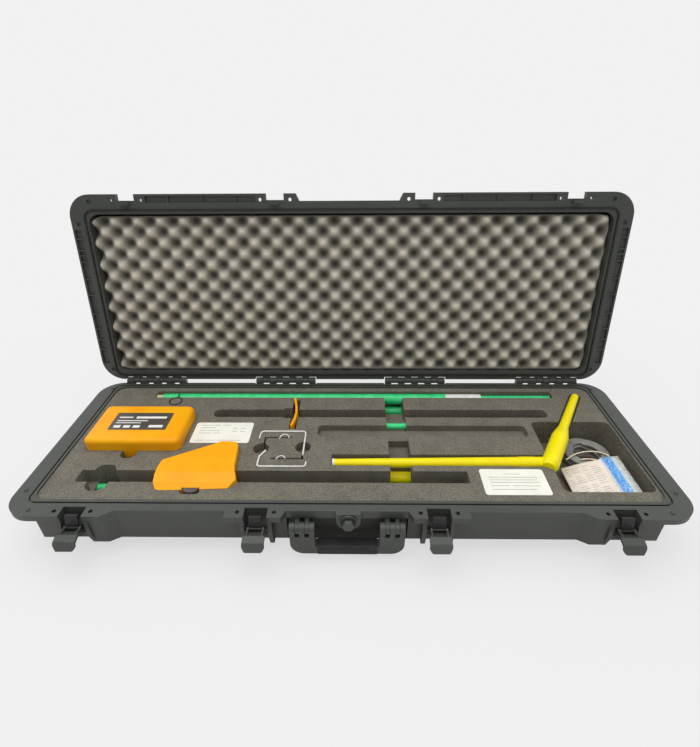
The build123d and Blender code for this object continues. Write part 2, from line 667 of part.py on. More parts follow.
with BuildPart() as lid_shell:
    tub_x = CASE_W / 2 - TUB_SIDE_IN
    block(-tub_x, tub_x, fy(TUB_FRONT_IN), REAR - TUB_BACK_IN, LID_BOTTOM, LID_TOP, TUB_R)
    fillet(lid_shell.faces().sort_by(Axis.Z)[-1].edges(), TUB_EDGE_R)
    with BuildSketch(Plane.XY.offset(LID_BOTTOM)):
        lip_outline(False)
    extrude(amount=LIP_T)
    for x in LATCH_X:
        x0, x1 = x - LID_NOTCH_HALF, x + LID_NOTCH_HALF
        block(x0, x1, FRONT - 1, fy(LID_NOTCH_IN), LID_BOTTOM - 1, LID_BOTTOM + LIP_T + 1, mode=Mode.SUBTRACT)
        barb_in, barb_h = CATCH_BARB
        profile_x(
            x - CATCH_HALF,
            x + CATCH_HALF,
            [
                (CATCH_IN[0], RIM_GAP + 3),
                (CATCH_IN[0], barb_h - CATCH_DROP),
                (barb_in, barb_h - CATCH_DROP),
                (barb_in, -CATCH_DROP),
                (CATCH_IN[1], -CATCH_DROP),
                (CATCH_IN[1], RIM_GAP + 3),
            ],
        )
        for side in (-1, 1):
            hole_x = x + side * PADLOCK_OUT
            round_z(hole_x, fy(PADLOCK_IN), LID_BOTTOM - 1, LID_BOTTOM + LIP_T + 1, PADLOCK_R, Mode.SUBTRACT)
    cell_x = (CASE_W / 2 - 18, CASE_W / 2 - 4)
    for side in (-1, 1):
        x0, x1 = sorted((side * cell_x[0], side * cell_x[1]))
        for v0, v1 in zip(LID_RIBS, LID_RIBS[1:]):
            y0, y1 = REAR - v1 + RIB_T / 2, REAR - v0 - RIB_T / 2
            block(x0, x1, y0, y1, LID_BOTTOM - 1, LID_BOTTOM + CELL_DEPTH, mode=Mode.SUBTRACT)
        for u0, u1 in zip(LID_FRONT_RIBS, LID_FRONT_RIBS[1:]):
            x0, x1 = sorted((side * (u0 + RIB_T / 2), side * (u1 - RIB_T / 2)))
            block(x0, x1, fy(4), fy(17), LID_BOTTOM - 1, LID_BOTTOM + CELL_DEPTH, mode=Mode.SUBTRACT)
    block(*cavity, LID_BOTTOM - 1, LID_TOP - WALL, CAVITY_R, mode=Mode.SUBTRACT)
    groove_z = (LID_BOTTOM - 1, LID_BOTTOM + GROOVE_DEPTH - 1)
    ring(GROOVE_IN, GROOVE_REAR_IN, GROOVE_W, *groove_z, Mode.SUBTRACT)
    for x, inward in PIPS:
        for side in (-1, 1):
            socket_z = (LID_BOTTOM - 1, LID_BOTTOM + PIP_H + 0.6)
            round_z(side * x, fy(inward), *socket_z, PIP_R + 0.5, Mode.SUBTRACT)
    for x in HINGE_X:
        hinge_gap(x, LID_BOTTOM - 1, LID_BOTTOM + LIP_T + 1)
        for shift in LID_KNUCKLES:
            knuckle(x + shift, False)
save("lid_shell", opened(lid_shell.part), COLORS["shell"])

with BuildPart() as lid_foam:
    block(-foam_x, foam_x, foam_front, foam_back, LID_TOP - WALL - LID_FOAM_T, LID_TOP - WALL, foam_r)
save("lid_foam", opened(lid_foam.part), COLORS["foam"])

with BuildPart() as lid_seal:
    seal_in = (GROOVE_IN + SEAL_CLEAR, GROOVE_REAR_IN + SEAL_CLEAR)
    ring(*seal_in, GROOVE_W - 2 * SEAL_CLEAR, RIM - GROOVE_DEPTH + 1, groove_z[1], Mode.ADD)
save("lid_seal", opened(lid_seal.part), COLORS["dark"])

for number, x in enumerate(HINGE_X, 1):
    with BuildPart() as hinge_pin:
        half = BASE_KNUCKLES[-1] + KNUCKLE_W / 2
        y, z = hinge_axis()
        round_x(x - half, x + half, y, z, HINGE_PIN_R)
        fillet(hinge_pin.edges().filter_by(GeomType.CIRCLE), 0.8)
    save(f"hinge_pin_{number}", hinge_pin.part, COLORS["steel"])

# ---- Latches: a lever with a finger tab, and a hook plate pinned to it ------------------------------
for number, x in enumerate(LATCH_X, 1):
    with BuildPart() as latch_lever:
        knee = ((LEVER_SHOULDER[0] + LEVER_TIP[0]) / 2 - 1, (LEVER_SHOULDER[1] + LEVER_TIP[1]) / 2 + 3)
        strip_x(x - LEVER_HALF, x + LEVER_HALF, [LATCH_PIVOT, LEVER_SHOULDER, knee, LEVER_TIP], LEVER_T)
        flare = LEVER_HALF + LEVER_FLARE
        strip_x(x - flare, x + flare, [(knee[0] - 4, knee[1] - 4), LEVER_TIP], LEVER_T)
        for side in (-1, 1):
            edge, tip = x + side * (flare + 1), LEVER_TIP[0] - LEVER_T
            with BuildSketch(Plane.XY.offset(fz(LEVER_TIP[1] - 20))) as corner:
                Polygon(
                    (edge, fy(tip)),
                    (edge, fy(tip + LEVER_CORNER + LEVER_T)),
                    (edge - side * 3, fy(tip + LEVER_CORNER)),
                    (edge - side * (LEVER_CORNER + 3), fy(tip)),
                    align=None,
                )
            extrude(corner.sketch, amount=40, mode=Mode.SUBTRACT)
        round_x(x - LEVER_HALF, x + LEVER_HALF, fy(LATCH_PIVOT[0]), fz(LATCH_PIVOT[1]), LATCH_PIN_R + 2)
        pin_x = RECESS_HALF + LATCH_PIN_SEAT - SIDE_CLEAR
        round_x(x - pin_x, x + pin_x, fy(LATCH_PIVOT[0]), fz(LATCH_PIVOT[1]), LATCH_PIN_R)
        for side in (-1, 1):
            near = side * (HOOK_HALF + SIDE_CLEAR)
            x0, x1 = sorted((x + near, x + near + side * HOOK_EAR_T))
            strip_x(x0, x1, [LATCH_PIVOT, HOOK_PIN], 7)
            strip_x(x0, x1, [LEVER_SHOULDER, HOOK_PIN], 4)
        ear_x = HOOK_HALF + SIDE_CLEAR + HOOK_EAR_T
        hook_y, hook_z = fy(HOOK_PIN[0]), fz(HOOK_PIN[1])
        round_x(x - ear_x, x + ear_x, hook_y, hook_z, HOOK_PIN_R + PIN_CLEAR, mode=Mode.SUBTRACT)
    save(f"latch_lever_{number}", latch_lever.part, COLORS["shell"])

    with BuildPart() as latch_hook:
        lean = -HOOK_LEAN
        top = turned((HOOK_PIN[0], HOOK_PIN[1] + HOOK_L - HOOK_T / 2), HOOK_PIN, lean)
        nose = turned((HOOK_PIN[0] + HOOK_T / 2 + 3.4, HOOK_PIN[1] + HOOK_L - HOOK_T / 2), HOOK_PIN, lean)
        strip_x(x - HOOK_HALF, x + HOOK_HALF, [HOOK_PIN, top, nose], HOOK_T)
        round_x(x - HOOK_HALF, x + HOOK_HALF, fy(HOOK_PIN[0]), fz(HOOK_PIN[1]), HOOK_PIN_R + 1)
        round_x(x - ear_x + SIDE_CLEAR, x + ear_x - SIDE_CLEAR, fy(HOOK_PIN[0]), fz(HOOK_PIN[1]), HOOK_PIN_R)
        low = turned((HOOK_PIN[0] - HOOK_T / 2, HOOK_PIN[1] + HOOK_L * 0.52), HOOK_PIN, lean)
        high = turned((HOOK_PIN[0] - HOOK_T / 2, HOOK_PIN[1] + HOOK_L * 0.66), HOOK_PIN, lean)
        strip_x(x - HOOK_HALF / 2, x + HOOK_HALF / 2, [low, high], 1.6)
    save(f"latch_hook_{number}", latch_hook.part, COLORS["steel"])

# ---- Handle -----------------------------------------------------------------------------------------
handle_y0 = fy(HANDLE_PIVOT[0] - HANDLE_T / 2)
handle_top, handle_bottom = HANDLE_PIVOT[1] - 13, HANDLE_PIVOT[1] - HANDLE_DROP
grip_top = handle_bottom + GRIP_H
inner_x = HANDLE_HALF - HANDLE_LEG

with BuildPart() as handle_frame:
    with BuildSketch(Plane.XZ.offset(-handle_y0 - HANDLE_T)) as outline:
        with Locations((0, fz((handle_top + handle_bottom) / 2))):
            Rectangle(2 * HANDLE_HALF, handle_top - handle_bottom)
        fillet(outline.vertices().group_by(Axis.Y)[0], HANDLE_CORNER_R)
        with Locations((0, fz((handle_top + 2 + grip_top) / 2))):
            Rectangle(2 * inner_x, handle_top + 2 - grip_top, mode=Mode.SUBTRACT)
    extrude(outline.sketch, amount=HANDLE_T)
    for side in (-1, 1):
        for offset_x in (-2 * LUG_OFFSETS[1], 0, 2 * LUG_OFFSETS[1]):
            x = side * (HANDLE_HALF - HANDLE_LEG / 2) + offset_x
            with BuildSketch(Plane.YZ.offset(x - FINGER_W / 2)) as finger:
                with Locations((fy(HANDLE_PIVOT[0]), fz(HANDLE_PIVOT[1]))):
                    Circle(FINGER_R)
                with Locations((fy(HANDLE_PIVOT[0]), fz((HANDLE_PIVOT[1] + handle_top) / 2 - 1))):
                    Rectangle(HANDLE_T, HANDLE_PIVOT[1] - handle_top + 2)
                with Locations((fy(HANDLE_PIVOT[0]), fz(HANDLE_PIVOT[1]))):
                    Circle(HANDLE_PIN_R + PIN_CLEAR, mode=Mode.SUBTRACT)
            extrude(finger.sketch, amount=FINGER_W)
save("handle_frame", handle_frame.part, COLORS["shell"])

with BuildPart() as handle_grip:
    skin = 2.0
    y0, y1 = handle_y0, handle_y0 + HANDLE_T
    z0, z1 = fz(handle_bottom), fz(grip_top)
    with BuildSketch(Plane.YZ.offset(-GRIP_HALF)) as section:
        with Locations(((y0 + y1) / 2, (z0 + z1) / 2)):
            RectangleRounded(HANDLE_T + 2 * skin, GRIP_H + 2 * skin, 5)
            Rectangle(HANDLE_T, GRIP_H, mode=Mode.SUBTRACT)
    extrude(section.sketch, amount=2 * GRIP_HALF)
save("handle_grip", handle_grip.part, COLORS["dark"])

for number, side in enumerate((-1, 1), 1):
    with BuildPart() as handle_pin:
        x0, x1 = sorted((side * (inner_x + 1), side * (HANDLE_HALF - 1)))
        round_x(x0, x1, fy(HANDLE_PIVOT[0]), fz(HANDLE_PIVOT[1]), HANDLE_PIN_R)
    save(f"handle_pin_{number}", handle_pin.part, COLORS["steel"])

# ---- Pressure valve ---------------------------------------------------------------------------------
valve_z = fz(-VALVE_DROP)
with BuildPart() as valve_body:
    round_y(VALVE_X, valve_z, fy(3), fy(CENTRE_SETBACK - 2.3), VALVE_RING_R)
    round_y(VALVE_X, valve_z, fy(CENTRE_SETBACK - 3), fy(CENTRE_SETBACK + 7), VALVE_STEM_R + 2)
    round_y(VALVE_X, valve_z, fy(2), fy(CENTRE_SETBACK + 2), VALVE_STEM_R + PIN_CLEAR, mode=Mode.SUBTRACT)
save("valve_body", valve_body.part, COLORS["dark"])

with BuildPart() as valve_seal:
    round_y(VALVE_X, valve_z, fy(1.2), fy(3), VALVE_RING_R - 2)
    round_y(VALVE_X, valve_z, fy(1), fy(4), VALVE_STEM_R + 0.6, mode=Mode.SUBTRACT)
save("valve_seal", valve_seal.part, COLORS["dark"])

with BuildPart() as valve_knob:
    with BuildSketch(Plane.XZ.offset(-fy(0.9))) as hexagon:
        with Locations((VALVE_X, valve_z)):
            RegularPolygon(VALVE_KNOB_R, 6)
    extrude(hexagon.sketch, amount=8)
    chamfer(valve_knob.faces().sort_by(Axis.Y)[0].edges(), 1.2)
    round_y(VALVE_X, valve_z, fy(0.5), fy(CENTRE_SETBACK), VALVE_STEM_R)
save("valve_knob", valve_knob.part, COLORS["shell"])

# ---- Sender: a two-part box with a board and a battery inside ---------------------------------------
sender_x0, sender_x1 = SENDER_X - SENDER_W / 2, SENDER_X + SENDER_W / 2
sender_y0, sender_y1 = fy(SENDER_IN - SENDER_D / 2), fy(SENDER_IN + SENDER_D / 2)
sender_top = FOAM_TOP + SENDER_PROUD
sender_low = sender_top - SENDER_H
sender_split = FOAM_TOP - 4

with BuildPart() as sender_lower:
    block(sender_x0, sender_x1, sender_y0, sender_y1, sender_low, sender_split, SENDER_R)
    fillet(sender_lower.faces().sort_by(Axis.Z)[0].edges(), 4)
    inner = (sender_x0 + CASE_SKIN, sender_x1 - CASE_SKIN, sender_y0 + CASE_SKIN, sender_y1 - CASE_SKIN)
    block(*inner, sender_low + CASE_SKIN, sender_split + 1, SENDER_R - CASE_SKIN, mode=Mode.SUBTRACT)
save("sender_lower_case", sender_lower.part, COLORS["orange"])

with BuildPart() as sender_upper:
    block(sender_x0, sender_x1, sender_y0, sender_y1, sender_split, sender_top, SENDER_R)
    fillet(sender_upper.faces().sort_by(Axis.Z)[-1].edges(), 9)
    block(*inner, sender_split - 1, sender_top - 2 * CASE_SKIN, SENDER_R - CASE_SKIN, mode=Mode.SUBTRACT)
save("sender_upper_case", sender_upper.part, COLORS["orange"])

with BuildPart() as sender_label:
    block(-493, -374, fy(207), fy(264), sender_top, sender_top + LABEL_T, 3)
save("sender_label", sender_label.part, COLORS["dark"])

with BuildPart() as sender_board:
    block(inner[0] + 6, inner[1] - 6, inner[2] + 6, inner[3] - 6, sender_split - 8, sender_split - 6.4, 4)
    for x in (-0.3, 0.3):
        for y in (-0.3, 0.3):
            center_x, center_y = SENDER_X + x * SENDER_W, fy(SENDER_IN) + y * SENDER_D
            round_z(center_x, center_y, sender_low + CASE_SKIN, sender_split - 8, 3)
save("sender_board", sender_board.part, COLORS["green"])

with BuildPart() as sender_battery:
    battery_y = (fy(SENDER_IN) - 22, fy(SENDER_IN) + 22)
    block(SENDER_X - 30, SENDER_X + 30, *battery_y, sender_low + CASE_SKIN, sender_split - 10, 3)
save("sender_battery", sender_battery.part, COLORS["dark"])

# ---- Receiver: a wedge with a thumbwheel at its front edge ------------------------------------------
receiver_top = FOAM_TOP + RECEIVER_PROUD
receiver_low = receiver_top - RECEIVER_H
receiver_split = FOAM_TOP - 3


def receiver_slab(z0, z1, inset, mode):
    """A slab of the receiver's outline, drawn in by its skin where it is hollow."""
    with BuildSketch(Plane.XY.offset(z0)) as outline:
        Polygon(*[(x, fy(y)) for x, y in RECEIVER_OUTLINE], align=None)
        if inset:
            offset(amount=-inset, kind=Kind.INTERSECTION)
    extrude(outline.sketch, amount=z1 - z0, mode=mode)


with BuildPart() as receiver_lower:
    receiver_slab(receiver_low, receiver_split, 0, Mode.ADD)
    fillet(receiver_lower.edges().filter_by(Axis.Z), 5)
    receiver_slab(receiver_low + CASE_SKIN, receiver_split + 1, CASE_SKIN + 3, Mode.SUBTRACT)
    wheel_z = (receiver_split + 4.5 - KNOB_T - 1, receiver_split + 4.5)
    round_z(KNOB_X, fy(KNOB_IN), wheel_z[0], wheel_z[1], KNOB_R + 1, mode=Mode.SUBTRACT)
    round_z(KNOB_X, fy(KNOB_IN), receiver_low + 1, wheel_z[1] - SIDE_CLEAR, WHEEL_PIN_R)
save("receiver_lower_case", receiver_lower.part, COLORS["orange"])

with BuildPart() as receiver_upper:
    receiver_slab(receiver_split, receiver_top, 0, Mode.ADD)
    fillet(receiver_upper.edges().filter_by(Axis.Z), 5)
    fillet(receiver_upper.faces().sort_by(Axis.Z)[-1].edges(), 2)
    bevel_x = (RECEIVER_OUTLINE[0][0] - 10, RECEIVER_OUTLINE[7][0] + 10)
    rise = RECEIVER_PROUD - FOAM_DROP
    bevel = [(50, rise + 2), (103, rise + 1), (99, rise), (79, rise - 6.5), (67, rise - 13), (50, rise - 13)]
    profile_x(*bevel_x, bevel, mode=Mode.SUBTRACT)
    receiver_slab(receiver_split - 1, receiver_top - CASE_SKIN - 8, CASE_SKIN + 6, Mode.SUBTRACT)
    round_z(KNOB_X, fy(KNOB_IN), wheel_z[0], wheel_z[1], KNOB_R + 1, mode=Mode.SUBTRACT)
save("receiver_upper_case", receiver_upper.part, COLORS["orange"])

with BuildPart() as receiver_wheel:
    round_z(KNOB_X, fy(KNOB_IN), wheel_z[0] + SIDE_CLEAR, wheel_z[1] - SIDE_CLEAR, KNOB_R)
    round_z(KNOB_X, fy(KNOB_IN), wheel_z[0], wheel_z[1], WHEEL_PIN_R + PIN_CLEAR, mode=Mode.SUBTRACT)
    chamfer(receiver_wheel.edges().filter_by(GeomType.CIRCLE).group_by(SortBy.RADIUS)[-1], 1)
save("receiver_wheel", receiver_wheel.part, COLORS["dark"])

with BuildPart() as receiver_board:
    block(-330, -235, fy(102), fy(140), receiver_low + CASE_SKIN + 6, receiver_low + CASE_SKIN + 7.6, 2)
    for x in (-320, -245):
        round_z(x, fy(121), receiver_low + CASE_SKIN, receiver_low + CASE_SKIN + 6, 3)
save("receiver_board", receiver_board.part, COLORS["green"])

with BuildPart() as receiver_battery:
    block(-310, -262, fy(108), fy(134), receiver_low + CASE_SKIN + 7.6, receiver_split - 1, 2)
save("receiver_battery", receiver_battery.part, COLORS["dark"])

# ---- Clip plate and the two wire frames -------------------------------------------------------------
with BuildPart() as clip_plate:
    line = [(x, fy(y)) for x, y in CLIP_LINE]
    strip(Plane.XY.offset(FOAM_TOP + CLIP_PROUD - CLIP_H), line, CLIP_T, CLIP_H)
save("clip_plate", clip_plate.part, COLORS["orange"])

frame_z = FOAM_TOP + WIRE_R
with BuildPart() as frame_rear:
    wire(((-184, 208), (-184, 232), (-90, 232), (-90, 158)), 8, WIRE_R, frame_z)
save("frame_rear", frame_rear.part, COLORS["white"])

with BuildPart() as frame_front:
    wire(((-165, 172), (-175, 154), (-175, 126), (-82, 126), (-82, 139)), 6, WIRE_R, frame_z)
save("frame_front", frame_front.part, COLORS["white"])

# ---- Upper green rod, with its tip, white band, thin end and wire loop ------------------------------
rod_y, rod_z = fy(GREEN_ROD_IN), fz(-GREEN_ROD_DROP)
for name, x0, x1, radius, color in (
    ("green_rod_tip", -456, -440, GREEN_ROD_R - 2.5, "cream"),
    ("green_rod", -440, GREEN_BAND_X[0], GREEN_ROD_R, "green"),
    ("green_rod_band", *GREEN_BAND_X, GREEN_ROD_R - 0.5, "white"),
    ("green_rod_thin", GREEN_BAND_X[1], 466, GREEN_ROD_R - 3.5, "green"),
):
    with BuildPart() as rod:
        round_x(x0, x1, rod_y, rod_z, radius)
    save(name, rod.part, COLORS[color])

with BuildPart() as rod_loop:
    loop_z = FOAM_TOP + LOOP_WIRE_R + 0.1
    with Locations((LOOP_X, fy(LOOP_IN), loop_z)):
        Torus(LOOP_R, LOOP_WIRE_R)
    round_y(LOOP_X, loop_z, fy(LOOP_IN + LOOP_R), rod_y, LOOP_WIRE_R)
save("rod_loop", rod_loop.part, COLORS["dark"])

# ---- Yellow probe: tapered pole, white cap, sleeve, elbow head and long arm -------------------------
pole_turn = degrees(atan2(POLE_IN[1] - POLE_IN[0], POLE_X[1] - POLE_X[0]))
pole_dir = (cos(radians(pole_turn)), sin(radians(pole_turn)), 0)
pole_l = hypot(POLE_X[1] - POLE_X[0], POLE_IN[1] - POLE_IN[0])
pole_start = (POLE_X[0], fy(POLE_IN[0]), fz(-POLE_DROP))
pole_end = (POLE_X[1], fy(POLE_IN[1]), fz(-POLE_DROP))

with BuildPart() as probe_pole:
    with BuildSketch(Plane(origin=pole_start, z_dir=pole_dir)):
        Circle(POLE_R[0])
    with BuildSketch(Plane(origin=pole_end, z_dir=pole_dir)):
        Circle(POLE_R[1])
    loft()
save("probe_pole", probe_pole.part, COLORS["yellow"])

with BuildPart() as probe_cap:
    with BuildSketch(Plane(origin=pole_start, z_dir=tuple(-v for v in pole_dir))):
        Circle(POLE_R[0] + 0.8)
    extrude(amount=CAP_L)
    fillet(probe_cap.faces().sort_by(Axis.X)[0].edges(), 1.5)
save("probe_cap", probe_cap.part, COLORS["white"])

with BuildPart() as probe_sleeve:
    with BuildSketch(Plane(origin=pole_end, z_dir=pole_dir)):
        Circle(SLEEVE_R)
    extrude(amount=SLEEVE_L - 10)
    fillet(probe_sleeve.faces().sort_by(Axis.X)[0].edges(), 2)
save("probe_sleeve", probe_sleeve.part, COLORS["yellow"])

with BuildPart() as probe_head:
    with BuildSketch(probe_plane(PROBE_NOSE[1])):
        Circle(PROBE_HEAD_R)
    extrude(amount=PROBE_HEAD_L - PROBE_NOSE[1])
    with BuildSketch(probe_plane(PROBE_NOSE[0])):
        Circle(PROBE_HEAD_R - 5)
    with BuildSketch(probe_plane(PROBE_NOSE[1])):
        Circle(PROBE_HEAD_R)
    loft()
    with BuildSketch(Plane(origin=Vector(*pole_end) + Vector(*pole_dir) * (SLEEVE_L - 10), z_dir=pole_dir)):
        Circle(SLEEVE_R - 0.5)
    extrude(amount=32)
save("probe_head", probe_head.part, COLORS["yellow"])

with BuildPart() as probe_arm:
    with BuildSketch(probe_plane(PROBE_HEAD_L)):
        Circle(PROBE_HEAD_R)
    with BuildSketch(probe_plane(PROBE_HEAD_L + PROBE_TAPER_L)):
        Circle(PROBE_ARM_R)
    loft()
    with BuildSketch(probe_plane(PROBE_HEAD_L + PROBE_TAPER_L)):
        Circle(PROBE_ARM_R)
    with BuildSketch(probe_plane(PROBE_HEAD_L + PROBE_TAPER_L + PROBE_ARM_L)):
        Circle(PROBE_TIP_R)
    loft()
save("probe_arm", probe_arm.part, COLORS["yellow"])

# ---- In the well: a coiled lead with its two connectors, a cord, a leaflet and a bag ----------------
coil_z = fz(-WELL_DEPTH)
with BuildPart() as lead_coil:
    with BuildSketch(Plane.XY.offset(coil_z)) as annulus:
        with Locations((COIL_X, fy(COIL_IN))):
            Circle(COIL_R[1])
            Circle(COIL_R[0], mode=Mode.SUBTRACT)
    extrude(annulus.sketch, amount=COIL_H)
save("lead_coil", lead_coil.part, COLORS["dark"])

for number, side in enumerate((-1, 1), 1):
    with BuildPart() as lead_plug:
        plug_y = fy(COIL_IN) + side * PLUG_R * 1.3
        round_x(COIL_X - PLUG_L / 2, COIL_X + PLUG_L / 2, plug_y, coil_z + PLUG_R, PLUG_R)
    save(f"lead_plug_{number}", lead_plug.part, COLORS["dark"])


def cord_path(points, name):
    """A cord's line: straight runs joined by arcs as large as they allow. Prints its radii and length."""
    corners = [Vector(x, y, CORD_Z) for x, y in points]
    radii = []
    for a, b, c in zip(corners, corners[1:], corners[2:]):
        turn = radians((b - a).get_angle(c - b))
        radii.append(0.45 * min((b - a).length, (c - b).length) / tan(turn / 2))
    with BuildLine() as path:
        FilletPolyline(*corners, radius=radii)
    line = path.wires()[0]
    print(name, "radii", [round(r, 1) for r in radii], "length", round(line.length, 1))
    return line


cord_line = cord_path(CORD_POINTS, "pull_cord")
with BuildPart() as pull_cord:
    with BuildSketch(Plane(origin=cord_line @ 0, z_dir=cord_line % 0)):
        Circle(CORD_R)
    sweep(path=cord_line)
cord_fill = pull_cord.part.volume / (pi * CORD_R**2 * cord_line.length)
print("pull_cord volume over section times length", cord_fill)
save("pull_cord", pull_cord.part, COLORS["cream"])

with BuildPart() as leaflet:
    corner = (LEAFLET_AT[0], fy(LEAFLET_AT[1]), fz(-LEAFLET_AT[2]))
    paper = Plane(origin=corner, x_dir=LEAFLET_X, z_dir=LEAFLET_UP)
    with BuildSketch(paper):
        RectangleRounded(LEAFLET_W, LEAFLET_L, 2)
    extrude(amount=LEAFLET_T)
save("leaflet", leaflet.part, COLORS["white"])

with BuildPart() as bag:
    pouch = Plane(origin=(BAG_AT[0], fy(BAG_AT[1]), fz(-BAG_AT[2])), x_dir=BAG_X, z_dir=BAG_UP)
    with BuildSketch(pouch):
        RectangleRounded(BAG_W, BAG_L, 3)
    extrude(amount=BAG_T)
save("bag", bag.part, COLORS["white"])
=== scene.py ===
# Circuit finder kit in a long hard case: looks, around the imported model
import json
import math

import bpy
from mathutils import Matrix, Vector


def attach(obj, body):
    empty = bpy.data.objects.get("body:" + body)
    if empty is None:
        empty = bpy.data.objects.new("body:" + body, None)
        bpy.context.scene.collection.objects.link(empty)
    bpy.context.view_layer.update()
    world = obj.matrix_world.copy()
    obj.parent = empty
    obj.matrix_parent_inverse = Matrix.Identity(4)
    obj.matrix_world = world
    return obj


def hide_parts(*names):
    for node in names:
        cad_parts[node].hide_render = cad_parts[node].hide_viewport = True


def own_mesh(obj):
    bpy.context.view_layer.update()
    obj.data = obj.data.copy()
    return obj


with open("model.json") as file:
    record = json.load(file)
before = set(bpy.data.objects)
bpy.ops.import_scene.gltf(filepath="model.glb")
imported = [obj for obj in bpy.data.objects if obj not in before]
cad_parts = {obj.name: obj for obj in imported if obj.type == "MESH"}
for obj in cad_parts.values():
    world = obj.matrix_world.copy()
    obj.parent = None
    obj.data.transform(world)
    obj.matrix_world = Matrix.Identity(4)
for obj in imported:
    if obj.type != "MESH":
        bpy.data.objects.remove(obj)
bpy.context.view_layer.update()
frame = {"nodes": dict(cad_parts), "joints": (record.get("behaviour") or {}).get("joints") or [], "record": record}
print("frame loaded:", len(frame["nodes"]), "nodes")

mm = 0.001
caseFront = -0.209  # front lip of the case
foamTop = 0.097
labelThick = 0.0006


def inFrom(lip):  # a place across the case, from millimetres behind the front lip
    return caseFront + lip * mm


# camera and light
camera = {
    "place": (0.0170, -0.7456, 0.7157),
    "turn": (57.539, 0.428, 0.779),
    "lens": 22.545,
    "shiftUp": 0.0087,
}
cameraData = bpy.data.cameras.new("camera")
cameraData.lens = camera["lens"]
cameraData.sensor_width = 36
cameraData.shift_y = camera["shiftUp"]
cameraObject = bpy.data.objects.new("camera", cameraData)
cameraObject.location = camera["place"]
cameraObject.rotation_euler = [math.radians(a) for a in camera["turn"]]
bpy.context.collection.objects.link(cameraObject)
bpy.context.scene.camera = cameraObject
bpy.context.scene.view_settings.view_transform = "Standard"


def toLinear(hexColour):
    channels = [int(hexColour[i : i + 2], 16) / 255 for i in (1, 3, 5)]
    return [c / 12.92 if c <= 0.04045 else ((c + 0.055) / 1.055) ** 2.4 for c in channels] + [1.0]


def addNode(tree, kind, settings=None, links=None):
    node = tree.nodes.new(kind)
    for name, value in (settings or {}).items():
        if name == "stops":
            ramp = node.color_ramp
            while len(ramp.elements) < len(value):
                ramp.elements.new(0.5)
            for element, (place, colour) in zip(ramp.elements, value):
                element.position = place
                element.color = toLinear(colour)
        elif isinstance(name, int) or name in node.inputs:
            node.inputs[name].default_value = value
        else:
            setattr(node, name, value)
    for name, source in (links or {}).items():
        tree.links.new(source, node.inputs[name])
    return node


light = {
    "skyBehind": 1.2,
    "skyFront": 0.25,
    "skyTilt": 0.8,
    "skyRange": (-0.6, 1.2),
    "top": 21.0,
    "topSize": 2.2,
    "topPlace": (-0.25, -0.1, 2.2),
    "front": 3.0,
    "frontSize": 1.2,
    "frontPlace": (0.5, -2.2, 1.3),
    "backdrop": "#f1f1f1",
}


def addLight(name, power, size, place):
    data = bpy.data.lights.new(name, "AREA")
    data.size = size
    data.energy = power
    lamp = bpy.data.objects.new(name, data)
    lamp.location = place
    lamp.rotation_euler = (Vector((0, 0, 0.1)) - lamp.location).to_track_quat("-Z", "Y").to_euler()
    bpy.context.collection.objects.link(lamp)


world = bpy.data.worlds.new("studio")
bpy.context.scene.world = world
world.use_nodes = True
tree = world.node_tree
tree.nodes.clear()
# brighter above and behind the case than in front, and an even backdrop for the eye
rays = addNode(tree, "ShaderNodeLightPath")
way = addNode(
    tree, "ShaderNodeSeparateXYZ", None, {0: addNode(tree, "ShaderNodeTexCoord").outputs["Generated"]},
)
rearward = addNode(
    tree, "ShaderNodeMath", {"operation": "MULTIPLY_ADD", 1: light["skyTilt"]},
    {0: way.outputs["Y"], 2: way.outputs["Z"]},
)
sky = addNode(
    tree,
    "ShaderNodeMapRange",
    {
        "From Min": light["skyRange"][0],
        "From Max": light["skyRange"][1],
        "To Min": light["skyFront"],
        "To Max": light["skyBehind"],
    },
    {"Value": rearward.outputs[0]},
)
power = addNode(
    tree,
    "ShaderNodeMix",
    {"data_type": "FLOAT", 3: 1.0},
    {0: rays.outputs["Is Camera Ray"], 2: sky.outputs[0]},
)
back = addNode(
    tree, "ShaderNodeBackground", {"Color": toLinear(light["backdrop"])}, {"Strength": power.outputs[0]}
)
addNode(tree, "ShaderNodeOutputWorld", None, {"Surface": back.outputs[0]})
addLight("softTop", light["top"], light["topSize"], light["topPlace"])
addLight("softFront", light["front"], light["frontSize"], light["frontPlace"])
print("camera and light placed")


# materials
def newMaterial(name):
    material = bpy.data.materials.new(name)
    material.use_nodes = True
    material.node_tree.nodes.clear()
    return material


def finish(material, shader):
    addNode(material.node_tree, "ShaderNodeOutputMaterial", None, {"Surface": shader.outputs[0]})
    return material


